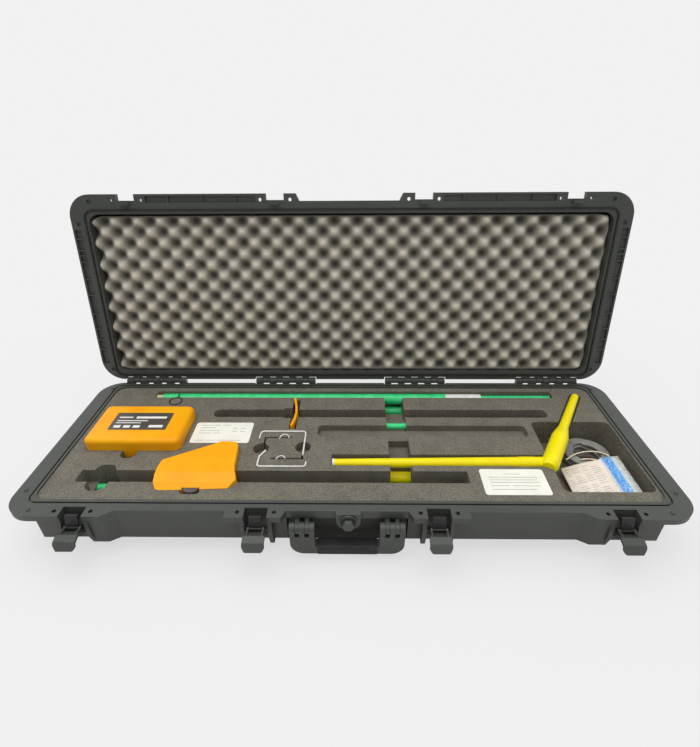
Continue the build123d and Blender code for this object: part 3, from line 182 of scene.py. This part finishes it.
def grainedSurface(name, look):
    # colour drifts between two shades over patchMm, grainMm makes the bump and a share of the colour
    material = newMaterial(name)
    tree = material.node_tree
    place = addNode(tree, "ShaderNodeTexCoord").outputs["Object"]
    patches = addNode(
        tree, "ShaderNodeTexNoise", {"Scale": 1000 / look["patchMm"], "Detail": 4.0}, {"Vector": place},
    )
    grain = addNode(
        tree, "ShaderNodeTexNoise", {"Scale": 1000 / look["grainMm"], "Detail": 2.0}, {"Vector": place},
    )
    mixed = addNode(
        tree,
        "ShaderNodeMix",
        {"data_type": "FLOAT", 0: look.get("grainInColour", 0.0)},
        {2: patches.outputs["Fac"], 3: grain.outputs["Fac"]},
    )
    colour = addNode(
        tree,
        "ShaderNodeValToRGB",
        {"stops": [(0.3, look["dark"]), (0.7, look["light"])]},
        {"Fac": mixed.outputs[0]},
    )
    drift = look.get("roughDrift", 0.05)
    rough = addNode(
        tree,
        "ShaderNodeMapRange",
        {"To Min": look["rough"] - drift, "To Max": look["rough"] + drift},
        {"Value": patches.outputs["Fac"]},
    )
    bump = addNode(
        tree,
        "ShaderNodeBump",
        {"Strength": look.get("bump", 0.5), "Distance": look["depthMm"] * mm},
        {"Height": grain.outputs["Fac"]},
    )
    settings = {"IOR": look.get("ior", 1.5), "Metallic": look.get("metallic", 0.0)}
    if "sheen" in look:
        settings.update({"Sheen Weight": look["sheen"], "Sheen Roughness": 0.6})
    if "coat" in look:
        settings.update({"Coat Weight": look["coat"], "Coat Roughness": 0.12})
    shader = addNode(
        tree,
        "ShaderNodeBsdfPrincipled",
        settings,
        {"Base Color": colour.outputs[0], "Roughness": rough.outputs[0], "Normal": bump.outputs[0]},
    )
    return finish(material, shader)


finishes = {
    # injection-moulded polypropylene with a spark-eroded texture: even, slightly greasy grey-black
    "case_plastic": {
        "dark": "#40433f", "light": "#474a45", "patchMm": 60, "grainMm": 0.9, "depthMm": 0.12,
        "rough": 0.44, "ior": 1.49, "grainInColour": 0.25,
    },
    # glass-filled nylon, moulded smooth: the hooks are blacker and crisper than the case
    "hook_plastic": {
        "dark": "#1b1c1b", "light": "#232422", "patchMm": 20, "grainMm": 1.2, "depthMm": 0.05,
        "rough": 0.4, "ior": 1.49,
    },
    # cross-linked closed-cell foam, knife cut: chalky, with pin-prick cells drawn at 1.6 mm so that they show
    "foam": {
        "dark": "#4a463d", "light": "#8d887b", "patchMm": 35, "grainMm": 1.6, "depthMm": 0.8,
        "rough": 0.92, "roughDrift": 0.03, "ior": 1.4, "grainInColour": 0.8,
    },
    # moulded nitrile rubber: matt black with no clear highlight
    "black_rubber": {
        "dark": "#191a19", "light": "#242423", "patchMm": 15, "grainMm": 0.8, "depthMm": 0.08,
        "rough": 0.68, "ior": 1.52,
    },
    # drawn stainless pins: bright metal, slightly blurred
    "steel": {
        "dark": "#8f9090", "light": "#b4b4b2", "patchMm": 6, "grainMm": 0.6, "depthMm": 0.02,
        "rough": 0.32, "metallic": 1.0,
    },
    # moulded ABS: orange-yellow and satin, its tone drifting faintly over the sink marks
    "orange_plastic": {
        "dark": "#ffa600", "light": "#ffb600", "patchMm": 45, "grainMm": 1.1, "depthMm": 0.04,
        "rough": 0.42, "ior": 1.33, "coat": 0.03,
    },
    # moulded nylon for the wheel, plugs and cells: brown-black, worn to a low sheen
    "dark_plastic": {
        "dark": "#4e4340", "light": "#66564f", "patchMm": 12, "grainMm": 0.9, "depthMm": 0.06,
        "rough": 0.5, "ior": 1.53,
    },
    # printed polycarbonate label film: smooth and flat, glossier than the case round it
    "dark_label": {
        "dark": "#453f3b", "light": "#504a46", "patchMm": 30, "grainMm": 0.8, "depthMm": 0.02,
        "rough": 0.38, "ior": 1.58,
    },
    # glass-fibre epoxy board under green solder resist: even, a little glossy
    "board": {
        "dark": "#0e3b1d", "light": "#14522a", "patchMm": 8, "grainMm": 1.0, "depthMm": 0.03,
        "rough": 0.4,
    },
    # PVC-dipped wire: smooth white skin, soft highlight
    "white_coated_wire": {
        "dark": "#dadad6", "light": "#f0f0ec", "patchMm": 14, "grainMm": 1.0, "depthMm": 0.03,
        "rough": 0.38, "ior": 1.53,
    },
    # pultruded glass-fibre rod with a clear gel coat: bright green under a sharp highlight
    "green_plastic": {
        "dark": "#20cc74", "light": "#42e894", "patchMm": 18, "grainMm": 0.7, "depthMm": 0.03,
        "rough": 0.3, "ior": 1.4, "coat": 0.3,
    },
    # vinyl tape wound on the rod: off-white, satin
    "white_band": {
        "dark": "#e2e2dc", "light": "#f2f2ee", "patchMm": 14, "grainMm": 0.8, "depthMm": 0.03,
        "rough": 0.45,
    },
    # cast nylon tip: cream, satin
    "beige_tip": {
        "dark": "#c9bf92", "light": "#dcd3aa", "patchMm": 8, "grainMm": 0.7, "depthMm": 0.03,
        "rough": 0.42,
    },
    # oil-tempered spring wire: dark metal with a narrow gleam
    "wire_steel": {
        "dark": "#3a3b3a", "light": "#565755", "patchMm": 4, "grainMm": 0.5, "depthMm": 0.02,
        "rough": 0.36, "metallic": 1.0,
    },
    # moulded polyethylene: lemon yellow with a waxy sheen
    "yellow_plastic": {
        "dark": "#ffe600", "light": "#fff200", "patchMm": 40, "grainMm": 1.0, "depthMm": 0.03,
        "rough": 0.36, "ior": 1.33, "coat": 0.05,
    },
    # coated label paper: flat white, hardly any gleam
    "label_paper": {
        "dark": "#efeee2", "light": "#faf9ee", "patchMm": 40, "grainMm": 0.7, "depthMm": 0.02,
        "rough": 0.6,
    },
    # uncoated printing paper: matt, a little warm
    "paper": {
        "dark": "#efe0d2", "light": "#fdf3ea", "patchMm": 30, "grainMm": 0.7, "depthMm": 0.02,
        "rough": 0.65,
    },
    # polythene film: glossy, uneven where it creases
    "film": {
        "dark": "#3f9be6", "light": "#7cc4f6", "patchMm": 9, "grainMm": 3.0, "depthMm": 0.3,
        "rough": 0.22, "ior": 1.5, "grainInColour": 0.5,
    },
    # extruded PVC cable jacket: smooth grey, broad highlight
    "grey_cable": {
        "dark": "#7d7c76", "light": "#96958e", "patchMm": 20, "grainMm": 1.0, "depthMm": 0.04,
        "rough": 0.46, "ior": 1.53,
    },
    # laid cotton cord: matt cream with the strands' shade
    "cream_cord": {
        "dark": "#e0d4b6", "light": "#f8f1dd", "patchMm": 6, "grainMm": 0.8, "depthMm": 0.15,
        "rough": 0.85, "sheen": 0.3, "grainInColour": 0.5,
    },
}
materials = {name: grainedSurface(name, look) for name, look in finishes.items()}
nodeSlots = {part["node"]: part["material_slot"] for part in frame["record"]["subparts"]}
for name, obj in frame["nodes"].items():
    for materialSlot in obj.material_slots:
        materialSlot.material = materials[nodeSlots[name]]
    if not obj.material_slots:
        obj.data.materials.append(materials[nodeSlots[name]])
print("materials set on", len(nodeSlots), "nodes")


# meshes that ride a body
def addPiece(name, vertices, faces, material, body, smooth=True):
    mesh = bpy.data.meshes.new(name)
    mesh.from_pydata([tuple(v) for v in vertices], [], faces)
    mesh.update()
    obj = bpy.data.objects.new(name, mesh)
    bpy.context.collection.objects.link(obj)
    mesh.materials.append(material)
    mesh.polygons.foreach_set("use_smooth", [smooth] * len(mesh.polygons))
    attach(obj, body)
    return obj


boxFaces = ((3, 2, 1, 0), (4, 5, 6, 7), (0, 1, 5, 4), (1, 2, 6, 5), (2, 3, 7, 6), (3, 0, 4, 7))


def flatBars(name, bars, height, material, body, spot=None, thick=0.00012):
    # plates from (x0, x1, y0, y1), laid at one height or through spot(): thin ones are printed lines
    vertices, faces = [], []
    for x0, x1, y0, y1 in bars:
        start = len(vertices)
        for z in (height, height + thick):
            for x, y in ((x0, y0), (x1, y0), (x1, y1), (x0, y1)):
                vertices.append(spot(x, y, z) if spot else (x, y, z))
        faces += [[start + corner for corner in face] for face in boxFaces]
    return addPiece(name, vertices, faces, material, body, smooth=False)


def slabFaces(rows, columns, turned=False):
    # the faces of a closed slab: a grid of vertices, a second grid over it, and the rim between them
    count = (rows + 1) * (columns + 1)

    def at(layer, j, i):
        return layer * count + j * (columns + 1) + i

    faces = []
    for j in range(rows):
        for i in range(columns):
            faces.append([at(1, j, i), at(1, j, i + 1), at(1, j + 1, i + 1), at(1, j + 1, i)])
            faces.append([at(0, j, i), at(0, j + 1, i), at(0, j + 1, i + 1), at(0, j, i + 1)])
    rim = [(0, i) for i in range(columns)] + [(j, columns) for j in range(rows)]
    rim += [(rows, i) for i in range(columns, 0, -1)] + [(j, 0) for j in range(rows, 0, -1)]
    for (ja, ia), (jb, ib) in zip(rim, rim[1:] + rim[:1]):
        faces.append([at(0, ja, ia), at(0, jb, ib), at(1, jb, ib), at(1, ja, ia)])
    if turned:  # for a slab whose second grid lies under the first
        faces = [[face[0], *reversed(face[1:])] for face in faces]
    return faces


# egg-crate foam in the lid
eggCrate = {
    "pitchAcross": 50.0,
    "pitchUp": 47.5,
    "shiftAcross": 8.0,
    "shiftUp": -6.0,
    "crest": 46.0,
    "valley": 25.0,
    "crestPower": 0.9,
    "gapBehind": 0.4,
    "backing": 0.6,
    "step": 3.2,
    "sides": (-555.5, 555.5),
    "depthRange": (44.5, 397.5),
    "cornerRound": 20.0,
    "cellMm": 1.8,
    "cellDepth": 0.0006,
    # colours set by crest height: painted shade in the hollows, painted light on the crests
    "paintedShadeTones": [(0.1, "#45423c"), (0.5, "#938e82"), (0.95, "#dbd5c6")],
}
hinge = next(j for j in frame["joints"] if j["name"] == "lid_hinge")
hingePoint = Vector(hinge["pos_m"])
lidTurn = Matrix.Rotation(-math.radians(hinge["range_deg"][1]), 3, "X")
lidBack = 0.1534  # inner face of the lid's top, lid shut


def inLid(x, lip, height):  # a place in the open lid, from where it is with the lid shut
    return hingePoint + lidTurn @ (Vector((x, inFrom(lip), height)) - hingePoint)


def buildEggCrate():
    p = eggCrate
    x0, x1 = p["sides"]
    v0, v1 = p["depthRange"]
    columns = round((x1 - x0) / p["step"])
    rows = round((v1 - v0) / p["step"])
    vertices, crests = [], []
    for layer in (0, 1):
        for j in range(rows + 1):
            v = v0 + (v1 - v0) * j / rows
            for i in range(columns + 1):
                u = x0 + (x1 - x0) * i / columns
                # rounded corners: pull the grid's corners in
                r = p["cornerRound"]
                dx = max(abs(u) - (x1 - r), 0)
                dv = max(v0 + r - v, v - (v1 - r), 0)
                pu, pv = u, v
                reach = math.hypot(dx, dv)
                if reach > r:
                    scale = r / reach
                    pu = math.copysign(x1 - r + dx * scale, u)
                    pv = v0 + r - dv * scale if v < v0 + r else v1 - r + dv * scale
                wave = math.cos(2 * math.pi * (u + p["shiftAcross"]) / p["pitchAcross"])
                wave *= math.cos(2 * math.pi * (v + p["shiftUp"]) / p["pitchUp"])
                wave = 0.5 + 0.5 * math.copysign(abs(wave) ** p["crestPower"], wave)
                thick = p["valley"] + (p["crest"] - p["valley"]) * wave if layer else p["backing"]
                vertices.append(inLid(pu * mm, pv, lidBack - (p["gapBehind"] + thick) * mm))
                crests.append(wave if layer else 0)
    # convoluted polyurethane foam, open cells: painted shade darkens the hollows and painted light brightens the
    # crests, set by the height of each point
    material = newMaterial("convolutedFoam")
    tree = material.node_tree
    place = addNode(tree, "ShaderNodeTexCoord").outputs["Object"]
    depth = addNode(tree, "ShaderNodeAttribute", {"attribute_name": "crest"})
    cells = addNode(
        tree, "ShaderNodeTexNoise", {"Scale": 1000 / p["cellMm"], "Detail": 2.0}, {"Vector": place},
    )
    # mostly crest height, so the ramp below paints shade and light, with a little cell noise
    tone = addNode(
        tree, "ShaderNodeMix", {"data_type": "FLOAT", 0: 0.14},
        {2: depth.outputs["Fac"], 3: cells.outputs["Fac"]},
    )
    colour = addNode(tree, "ShaderNodeValToRGB", {"stops": p["paintedShadeTones"]}, {"Fac": tone.outputs[0]})
    bump = addNode(
        tree,
        "ShaderNodeBump",
        {"Strength": 0.5, "Distance": p["cellDepth"]},
        {"Height": cells.outputs["Fac"]},
    )
    shader = addNode(
        tree,
        "ShaderNodeBsdfPrincipled",
        {"Roughness": 0.95, "IOR": 1.3, "Sheen Weight": 0.15, "Sheen Roughness": 0.6},
        {"Base Color": colour.outputs[0], "Normal": bump.outputs[0]},
    )
    finish(material, shader)
    faces = slabFaces(rows, columns, turned=True)
    pad = addPiece("egg_crate_pad", vertices, faces, material, "lid")
    pad.data.attributes.new("crest", "FLOAT", "POINT").data.foreach_set("value", crests)
    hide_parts("lid_foam")
    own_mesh(pad)


buildEggCrate()
print("egg-crate pad built")

# raised stiffening ribs on the lid's outside, low enough for the lid to rest on
lidRibs = {
    "lips": (84, 130, 176, 222, 268, 314, 360),
    "half": 0.505,
    "width": 16.0,
    "rise": 0.0022,
    "back": 0.1583,
}
ribBars = [(-lidRibs["half"], lidRibs["half"], lip, lip + lidRibs["width"]) for lip in lidRibs["lips"]]
flatBars(
    "lid_ribs", ribBars, lidRibs["back"], materials["case_plastic"], "lid", spot=inLid,
    thick=lidRibs["rise"],
)

# printed lines on the labels
inks = {
    "greyInk": grainedSurface("greyInk", {
        "dark": "#aeada6", "light": "#bdbcb5", "patchMm": 10, "grainMm": 0.6, "depthMm": 0.01,
        "rough": 0.6,
    }),
    "whiteInk": grainedSurface("whiteInk", {
        "dark": "#e9e6df", "light": "#f6f4ee", "patchMm": 10, "grainMm": 0.6, "depthMm": 0.01,
        "rough": 0.5,
    }),
}


labelLines = {
    "left_label_lines": {
        "box": (-327, -205, 196, 263),
        "height": 1.5,
        "rows": (  # share across, from, to
            (0.14, 0.1, 0.42), (0.14, 0.46, 0.6), (0.26, 0.1, 0.36), (0.4, 0.1, 0.44), (0.53, 0.1, 0.3),
            (0.53, 0.34, 0.46), (0.88, 0.08, 0.42), (0.88, 0.46, 0.86), (0.3, 0.66, 0.74),
            (0.3, 0.8, 0.88), (0.45, 0.66, 0.74), (0.45, 0.8, 0.88),
        ),
    },
    "right_label_lines": {
        "box": (246, 364, 56.5, 122),
        "height": 1.3,
        "rows": (
            (0.2, 0.36, 0.62), (0.33, 0.12, 0.88), (0.43, 0.12, 0.86), (0.53, 0.12, 0.88),
            (0.66, 0.12, 0.4), (0.66, 0.44, 0.88), (0.8, 0.12, 0.8),
        ),
    },
}
senderLabel = {
    "top": foamTop + 0.0256,
    "bars": (  # left, right, front, rear
        (-484, -455, 246, 250), (-484, -420, 235, 238), (-484, -432, 228, 230.5), (-412, -383, 214, 222),
        (-484, -470, 213, 221), (-464, -450, 213, 221), (-444, -430, 213, 221), (-448, -384, 244, 251),
    ),
}


def linesOn(label):
    # bars of a text line's height, placed by their shares of the label
    x0, x1, front, rear = label["box"]
    left, wide, half = x0 * mm, (x1 - x0) * mm, label["height"] * mm / 2
    bars = []
    for share, start, end in label["rows"]:
        y = inFrom(rear - (rear - front) * share)
        bars.append((left + wide * start, left + wide * end, y - half, y + half))
    return bars


for name, label in labelLines.items():
    flatBars(name, linesOn(label), foamTop + labelThick, inks["greyInk"], "base")
senderBars = [(x0 * mm, x1 * mm, inFrom(front), inFrom(rear)) for x0, x1, front, rear in senderLabel["bars"]]
flatBars(
    "sender_label_bars", senderBars, senderLabel["top"], inks["whiteInk"], "sender",
)
print("labels lined")

# the leaflet and the pouch: thin pieces lying aslant in the well
leafletSheet = {
    "corner": (466.0, 125.0, 62.3),
    "across": (0.943, 0.0, 0.332),
    "up": (-0.332, 0.0, 0.943),
    "size": (77.0, 98.0),
    "thick": 2.2,
    "swell": 0.5,
    "droop": 0.3,
    "step": 3.0,
}
pouchSheet = {
    "corner": (520.6, 128.0, 78.0),
    "across": (0.985, 0.0, 0.174),
    "up": (-0.174, 0.0, 0.985),
    "size": (36.0, 102.0),
    "thick": 3.4,
    "hem": 0.6,
    "crease": 0.16,
    "step": 1.2,
}


def onSheet(sheet, u, v, w):
    # a place on an aslant sheet, from millimetres across, along and above its middle
    x, lip, z = sheet["corner"]
    origin = Vector((x * mm, inFrom(lip), z * mm))
    return origin + (Vector(sheet["across"]) * u + Vector((0, 1, 0)) * v + Vector(sheet["up"]) * w) * mm


def sheetPiece(name, sheet, rise, material, body):
    # a closed sheet whose upper face rises by rise(u, v), both from -1 to 1
    wide, long = sheet["size"]
    columns, rows = round(wide / sheet["step"]), round(long / sheet["step"])
    vertices = []
    for layer in (0, 1):
        for j in range(rows + 1):
            for i in range(columns + 1):
                u, v = 2 * i / columns - 1, 2 * j / rows - 1
                w = rise(u, v) if layer else 0.1
                vertices.append(onSheet(sheet, u * wide / 2, v * long / 2, w))
    return addPiece(name, vertices, slabFaces(rows, columns), material, body)


def leafletRise(u, v):
    sheet = leafletSheet
    return sheet["thick"] + sheet["swell"] * math.sin(2.2 * u + 1.3 * v) - sheet["droop"] * abs(u * v)


def pouchRise(u, v):
    edge = (1 - u**8) * (1 - v**10)
    crease = math.sin(9 * u + 4 * v) * math.cos(13 * v - 5 * u) + 0.6 * math.sin(23 * v + 7 * u)
    return pouchSheet["hem"] + pouchSheet["thick"] * edge * (0.8 + pouchSheet["crease"] * crease)


def filmOverPanel():
    # clear film drawn tight over a blue card on the left, loose and milky on the right, with white glints painted
    # into its colour as painted highlights
    material = newMaterial("filmOverPanel")
    tree = material.node_tree
    place = addNode(tree, "ShaderNodeTexCoord").outputs["Generated"]
    split = addNode(tree, "ShaderNodeSeparateXYZ", None, {0: place})
    streaks = addNode(
        tree, "ShaderNodeTexNoise", {"Scale": 14.0, "Detail": 3.0, "Distortion": 1.6}, {"Vector": place},
    )
    shift = addNode(
        tree, "ShaderNodeMath", {"operation": "MULTIPLY_ADD", 1: 0.22, 2: -0.11},
        {0: streaks.outputs["Fac"]},
    )
    across = addNode(
        tree, "ShaderNodeMath", {"operation": "ADD"}, {0: split.outputs["X"], 1: shift.outputs[0]},
    )
    card = addNode(
        tree,
        "ShaderNodeValToRGB",
        {
            "stops": [
                (0.05, "#dfe6ea"),
                (0.10, "#2f8fe2"),
                (0.50, "#4aa6ee"),
                (0.58, "#cfd6d4"),
                (0.90, "#9d9d95"),
            ]
        },
        {"Fac": across.outputs[0]},
    )
    # painted highlights: near-white glint spots mixed into the base colour
    paintedGlints = addNode(
        tree, "ShaderNodeValToRGB", {"stops": [(0.56, "#000000"), (0.66, "#ffffff")]},
        {"Fac": streaks.outputs["Fac"]},
    )
    colour = addNode(
        tree, "ShaderNodeMix", {"data_type": "RGBA"}, {0: paintedGlints.outputs[0], 6: card.outputs[0]}
    )
    colour.inputs[7].default_value = toLinear("#f2f6f8")
    shader = addNode(
        tree,
        "ShaderNodeBsdfPrincipled",
        {"Roughness": 0.16, "IOR": 1.49, "Coat Weight": 0.5, "Coat Roughness": 0.06},
        {"Base Color": colour.outputs[2]},
    )
    return finish(material, shader)


leafletPiece = sheetPiece("folded_leaflet", leafletSheet, leafletRise, materials["paper"], "paper")
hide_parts("leaflet")
pouchPiece = sheetPiece("wrapped_pouch", pouchSheet, pouchRise, filmOverPanel(), "pouch")
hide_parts("bag")


def leafletSpot(u, v, w):  # printed lines follow the sheet's own swell
    wide, long = leafletSheet["size"]
    return onSheet(leafletSheet, u, v, leafletRise(2 * u / wide, 2 * v / long) + w / mm)


leafletText = {
    "lines": 15,
    "first": 40,
    "pitch": 5.6,
    "half": 0.6,
    "words": ((-33, -24), (-21, -4), (-1, 12), (15, 33)),
}
leafletRows = []
for row in range(leafletText["lines"]):
    v = leafletText["first"] - row * leafletText["pitch"]
    for start, end in leafletText["words"]:
        if (row * 7 + start) % 5:  # some words are missing, and the line ends are ragged
            ragged = end - (row * 5) % 7
            leafletRows.append((start, ragged, v - leafletText["half"], v + leafletText["half"]))
flatBars("leaflet_lines", leafletRows, 0.0, inks["greyInk"], "paper", spot=leafletSpot)
print("leaflet and pouch laid")

# the coiled lead and the pull cord
coil = {
    "centre": (0.497, 0.004),
    "radii": (0.0292, 0.0468),
    "floor": 0.038,
    "layers": 4,
    "turnsAcross": 4,
    "layerPitch": 0.985,
    "diameter": 0.006,
    "perTurn": 12,
}


def splineCurve(name, points, radius, material, body, resolution=10):
    curve = bpy.data.curves.new(name, "CURVE")
    curve.dimensions = "3D"
    spline = curve.splines.new("NURBS")
    spline.points.add(len(points) - 1)
    for point, place in zip(spline.points, points):
        point.co = (*place, 1)
    spline.order_u = 3
    spline.use_endpoint_u = True
    curve.resolution_u = resolution
    curve.bevel_depth = radius
    curve.bevel_resolution = 4
    curve.use_fill_caps = True
    curve.materials.append(material)
    obj = bpy.data.objects.new(name, curve)
    bpy.context.collection.objects.link(obj)
    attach(obj, body)
    return obj


def centreline(obj):
    # the smooth line itself: the curve with no bevel
    copy = obj.data.copy()
    copy.bevel_depth = 0
    probe = bpy.data.objects.new("probe", copy)
    bpy.context.collection.objects.link(probe)
    mesh = bpy.data.meshes.new_from_object(probe.evaluated_get(bpy.context.evaluated_depsgraph_get()))
    line = [v.co.copy() for v in mesh.vertices]
    bpy.data.objects.remove(probe)
    return line, sum((b - a).length for a, b in zip(line, line[1:]))


def coilPoints():
    p = coil
    r0, r1 = p["radii"]
    total = p["layers"] * p["turnsAcross"]
    points = []
    for k in range(total * p["perTurn"] + 1):
        turn = k / p["perTurn"]
        layer = min(int(turn // p["turnsAcross"]), p["layers"] - 1)
        across = (turn - layer * p["turnsAcross"]) / p["turnsAcross"]
        if layer % 2:
            across = 1 - across
        radius = r0 + (r1 - r0) * across
        angle = 2 * math.pi * turn + math.pi / 2
        z = p["floor"] + p["diameter"] * (0.5 + layer * p["layerPitch"])
        x, y = p["centre"]
        points.append((x + radius * math.cos(angle), y + radius * math.sin(angle), z))
    return points


lead = splineCurve(
    "coiled_lead", coilPoints(), coil["diameter"] / 2, materials["grey_cable"], "base",
    resolution=4,
)
leadLine, leadLength = centreline(lead)
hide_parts("lead_coil")

pullCord = {
    "points": (
        (0.443, -0.023, 0.0642), (0.458, -0.011, 0.0642), (0.478, -0.001, 0.0642), (0.500, 0.003, 0.0642),
        (0.519, 0.001, 0.0642), (0.537, -0.011, 0.0642), (0.527, -0.0285, 0.0642), (0.506, -0.025, 0.0642),
        (0.486, -0.019, 0.0642), (0.471, -0.023, 0.0642),
    ),
    "diameter": 0.003,
}
cord = splineCurve(
    "pull_cord_line", pullCord["points"], pullCord["diameter"] / 2, materials["cream_cord"], "base",
)
cordLine, cordLength = centreline(cord)
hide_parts("pull_cord")
# short white wires bent round inside each frame
frameArcs = {
    "radius": 0.0012,
    "lift": 0.0014,
    "rear_frame": ((-143, 208), (-142, 218), (-134, 223), (-125, 220), (-123, 211)),
    "front_frame": ((-141, 146), (-139, 153), (-133, 157), (-126, 155), (-124, 149)),
}
for body in ("rear_frame", "front_frame"):
    points = [(x * mm, inFrom(lip), foamTop + frameArcs["lift"]) for x, lip in frameArcs[body]]
    white = materials["white_coated_wire"]
    splineCurve(f"{body}_arc", points, frameArcs["radius"], white, body)
print("cords laid: lead", round(leadLength, 3), "m, pull cord", round(cordLength, 3), "m")

# the floor: lit near the case, fading into the backdrop's own tone further out
floorLook = {"half": 9, "matt": "#e6e6e6", "fadeFrom": 0.65, "fadeTo": 1.3, "nearShare": 0.72}


def paleFloor():
    material = newMaterial("paleFloor")
    tree = material.node_tree
    place = addNode(tree, "ShaderNodeTexCoord").outputs["Object"]
    reach = addNode(tree, "ShaderNodeVectorMath", {"operation": "LENGTH"}, {0: place})
    fade = addNode(
        tree,
        "ShaderNodeMapRange",
        {
            "From Min": floorLook["fadeFrom"],
            "From Max": floorLook["fadeTo"],
            "To Min": floorLook["nearShare"],
            "To Max": 1.0,
        },
        {"Value": reach.outputs["Value"]},
    )
    matt = addNode(tree, "ShaderNodeBsdfDiffuse", {"Color": toLinear(floorLook["matt"])})
    glow = addNode(tree, "ShaderNodeEmission", {"Color": toLinear(light["backdrop"])})
    rays = addNode(tree, "ShaderNodeLightPath")
    share = addNode(
        tree,
        "ShaderNodeMath",
        {"operation": "MULTIPLY"},
        {0: fade.outputs[0], 1: rays.outputs["Is Camera Ray"]},
    )
    mixed = addNode(
        tree, "ShaderNodeMixShader", None, {0: share.outputs[0], 1: matt.outputs[0], 2: glow.outputs[0]},
    )
    return finish(material, mixed)


floorMesh = bpy.data.meshes.new("floor")
half = floorLook["half"]
corners = [(-half, -half, 0), (half, -half, 0), (half, half, 0), (-half, half, 0)]
floorMesh.from_pydata(corners, [], [(0, 1, 2, 3)])
floor = bpy.data.objects.new("floor", floorMesh)
bpy.context.collection.objects.link(floor)
floorMesh.materials.append(paleFloor())
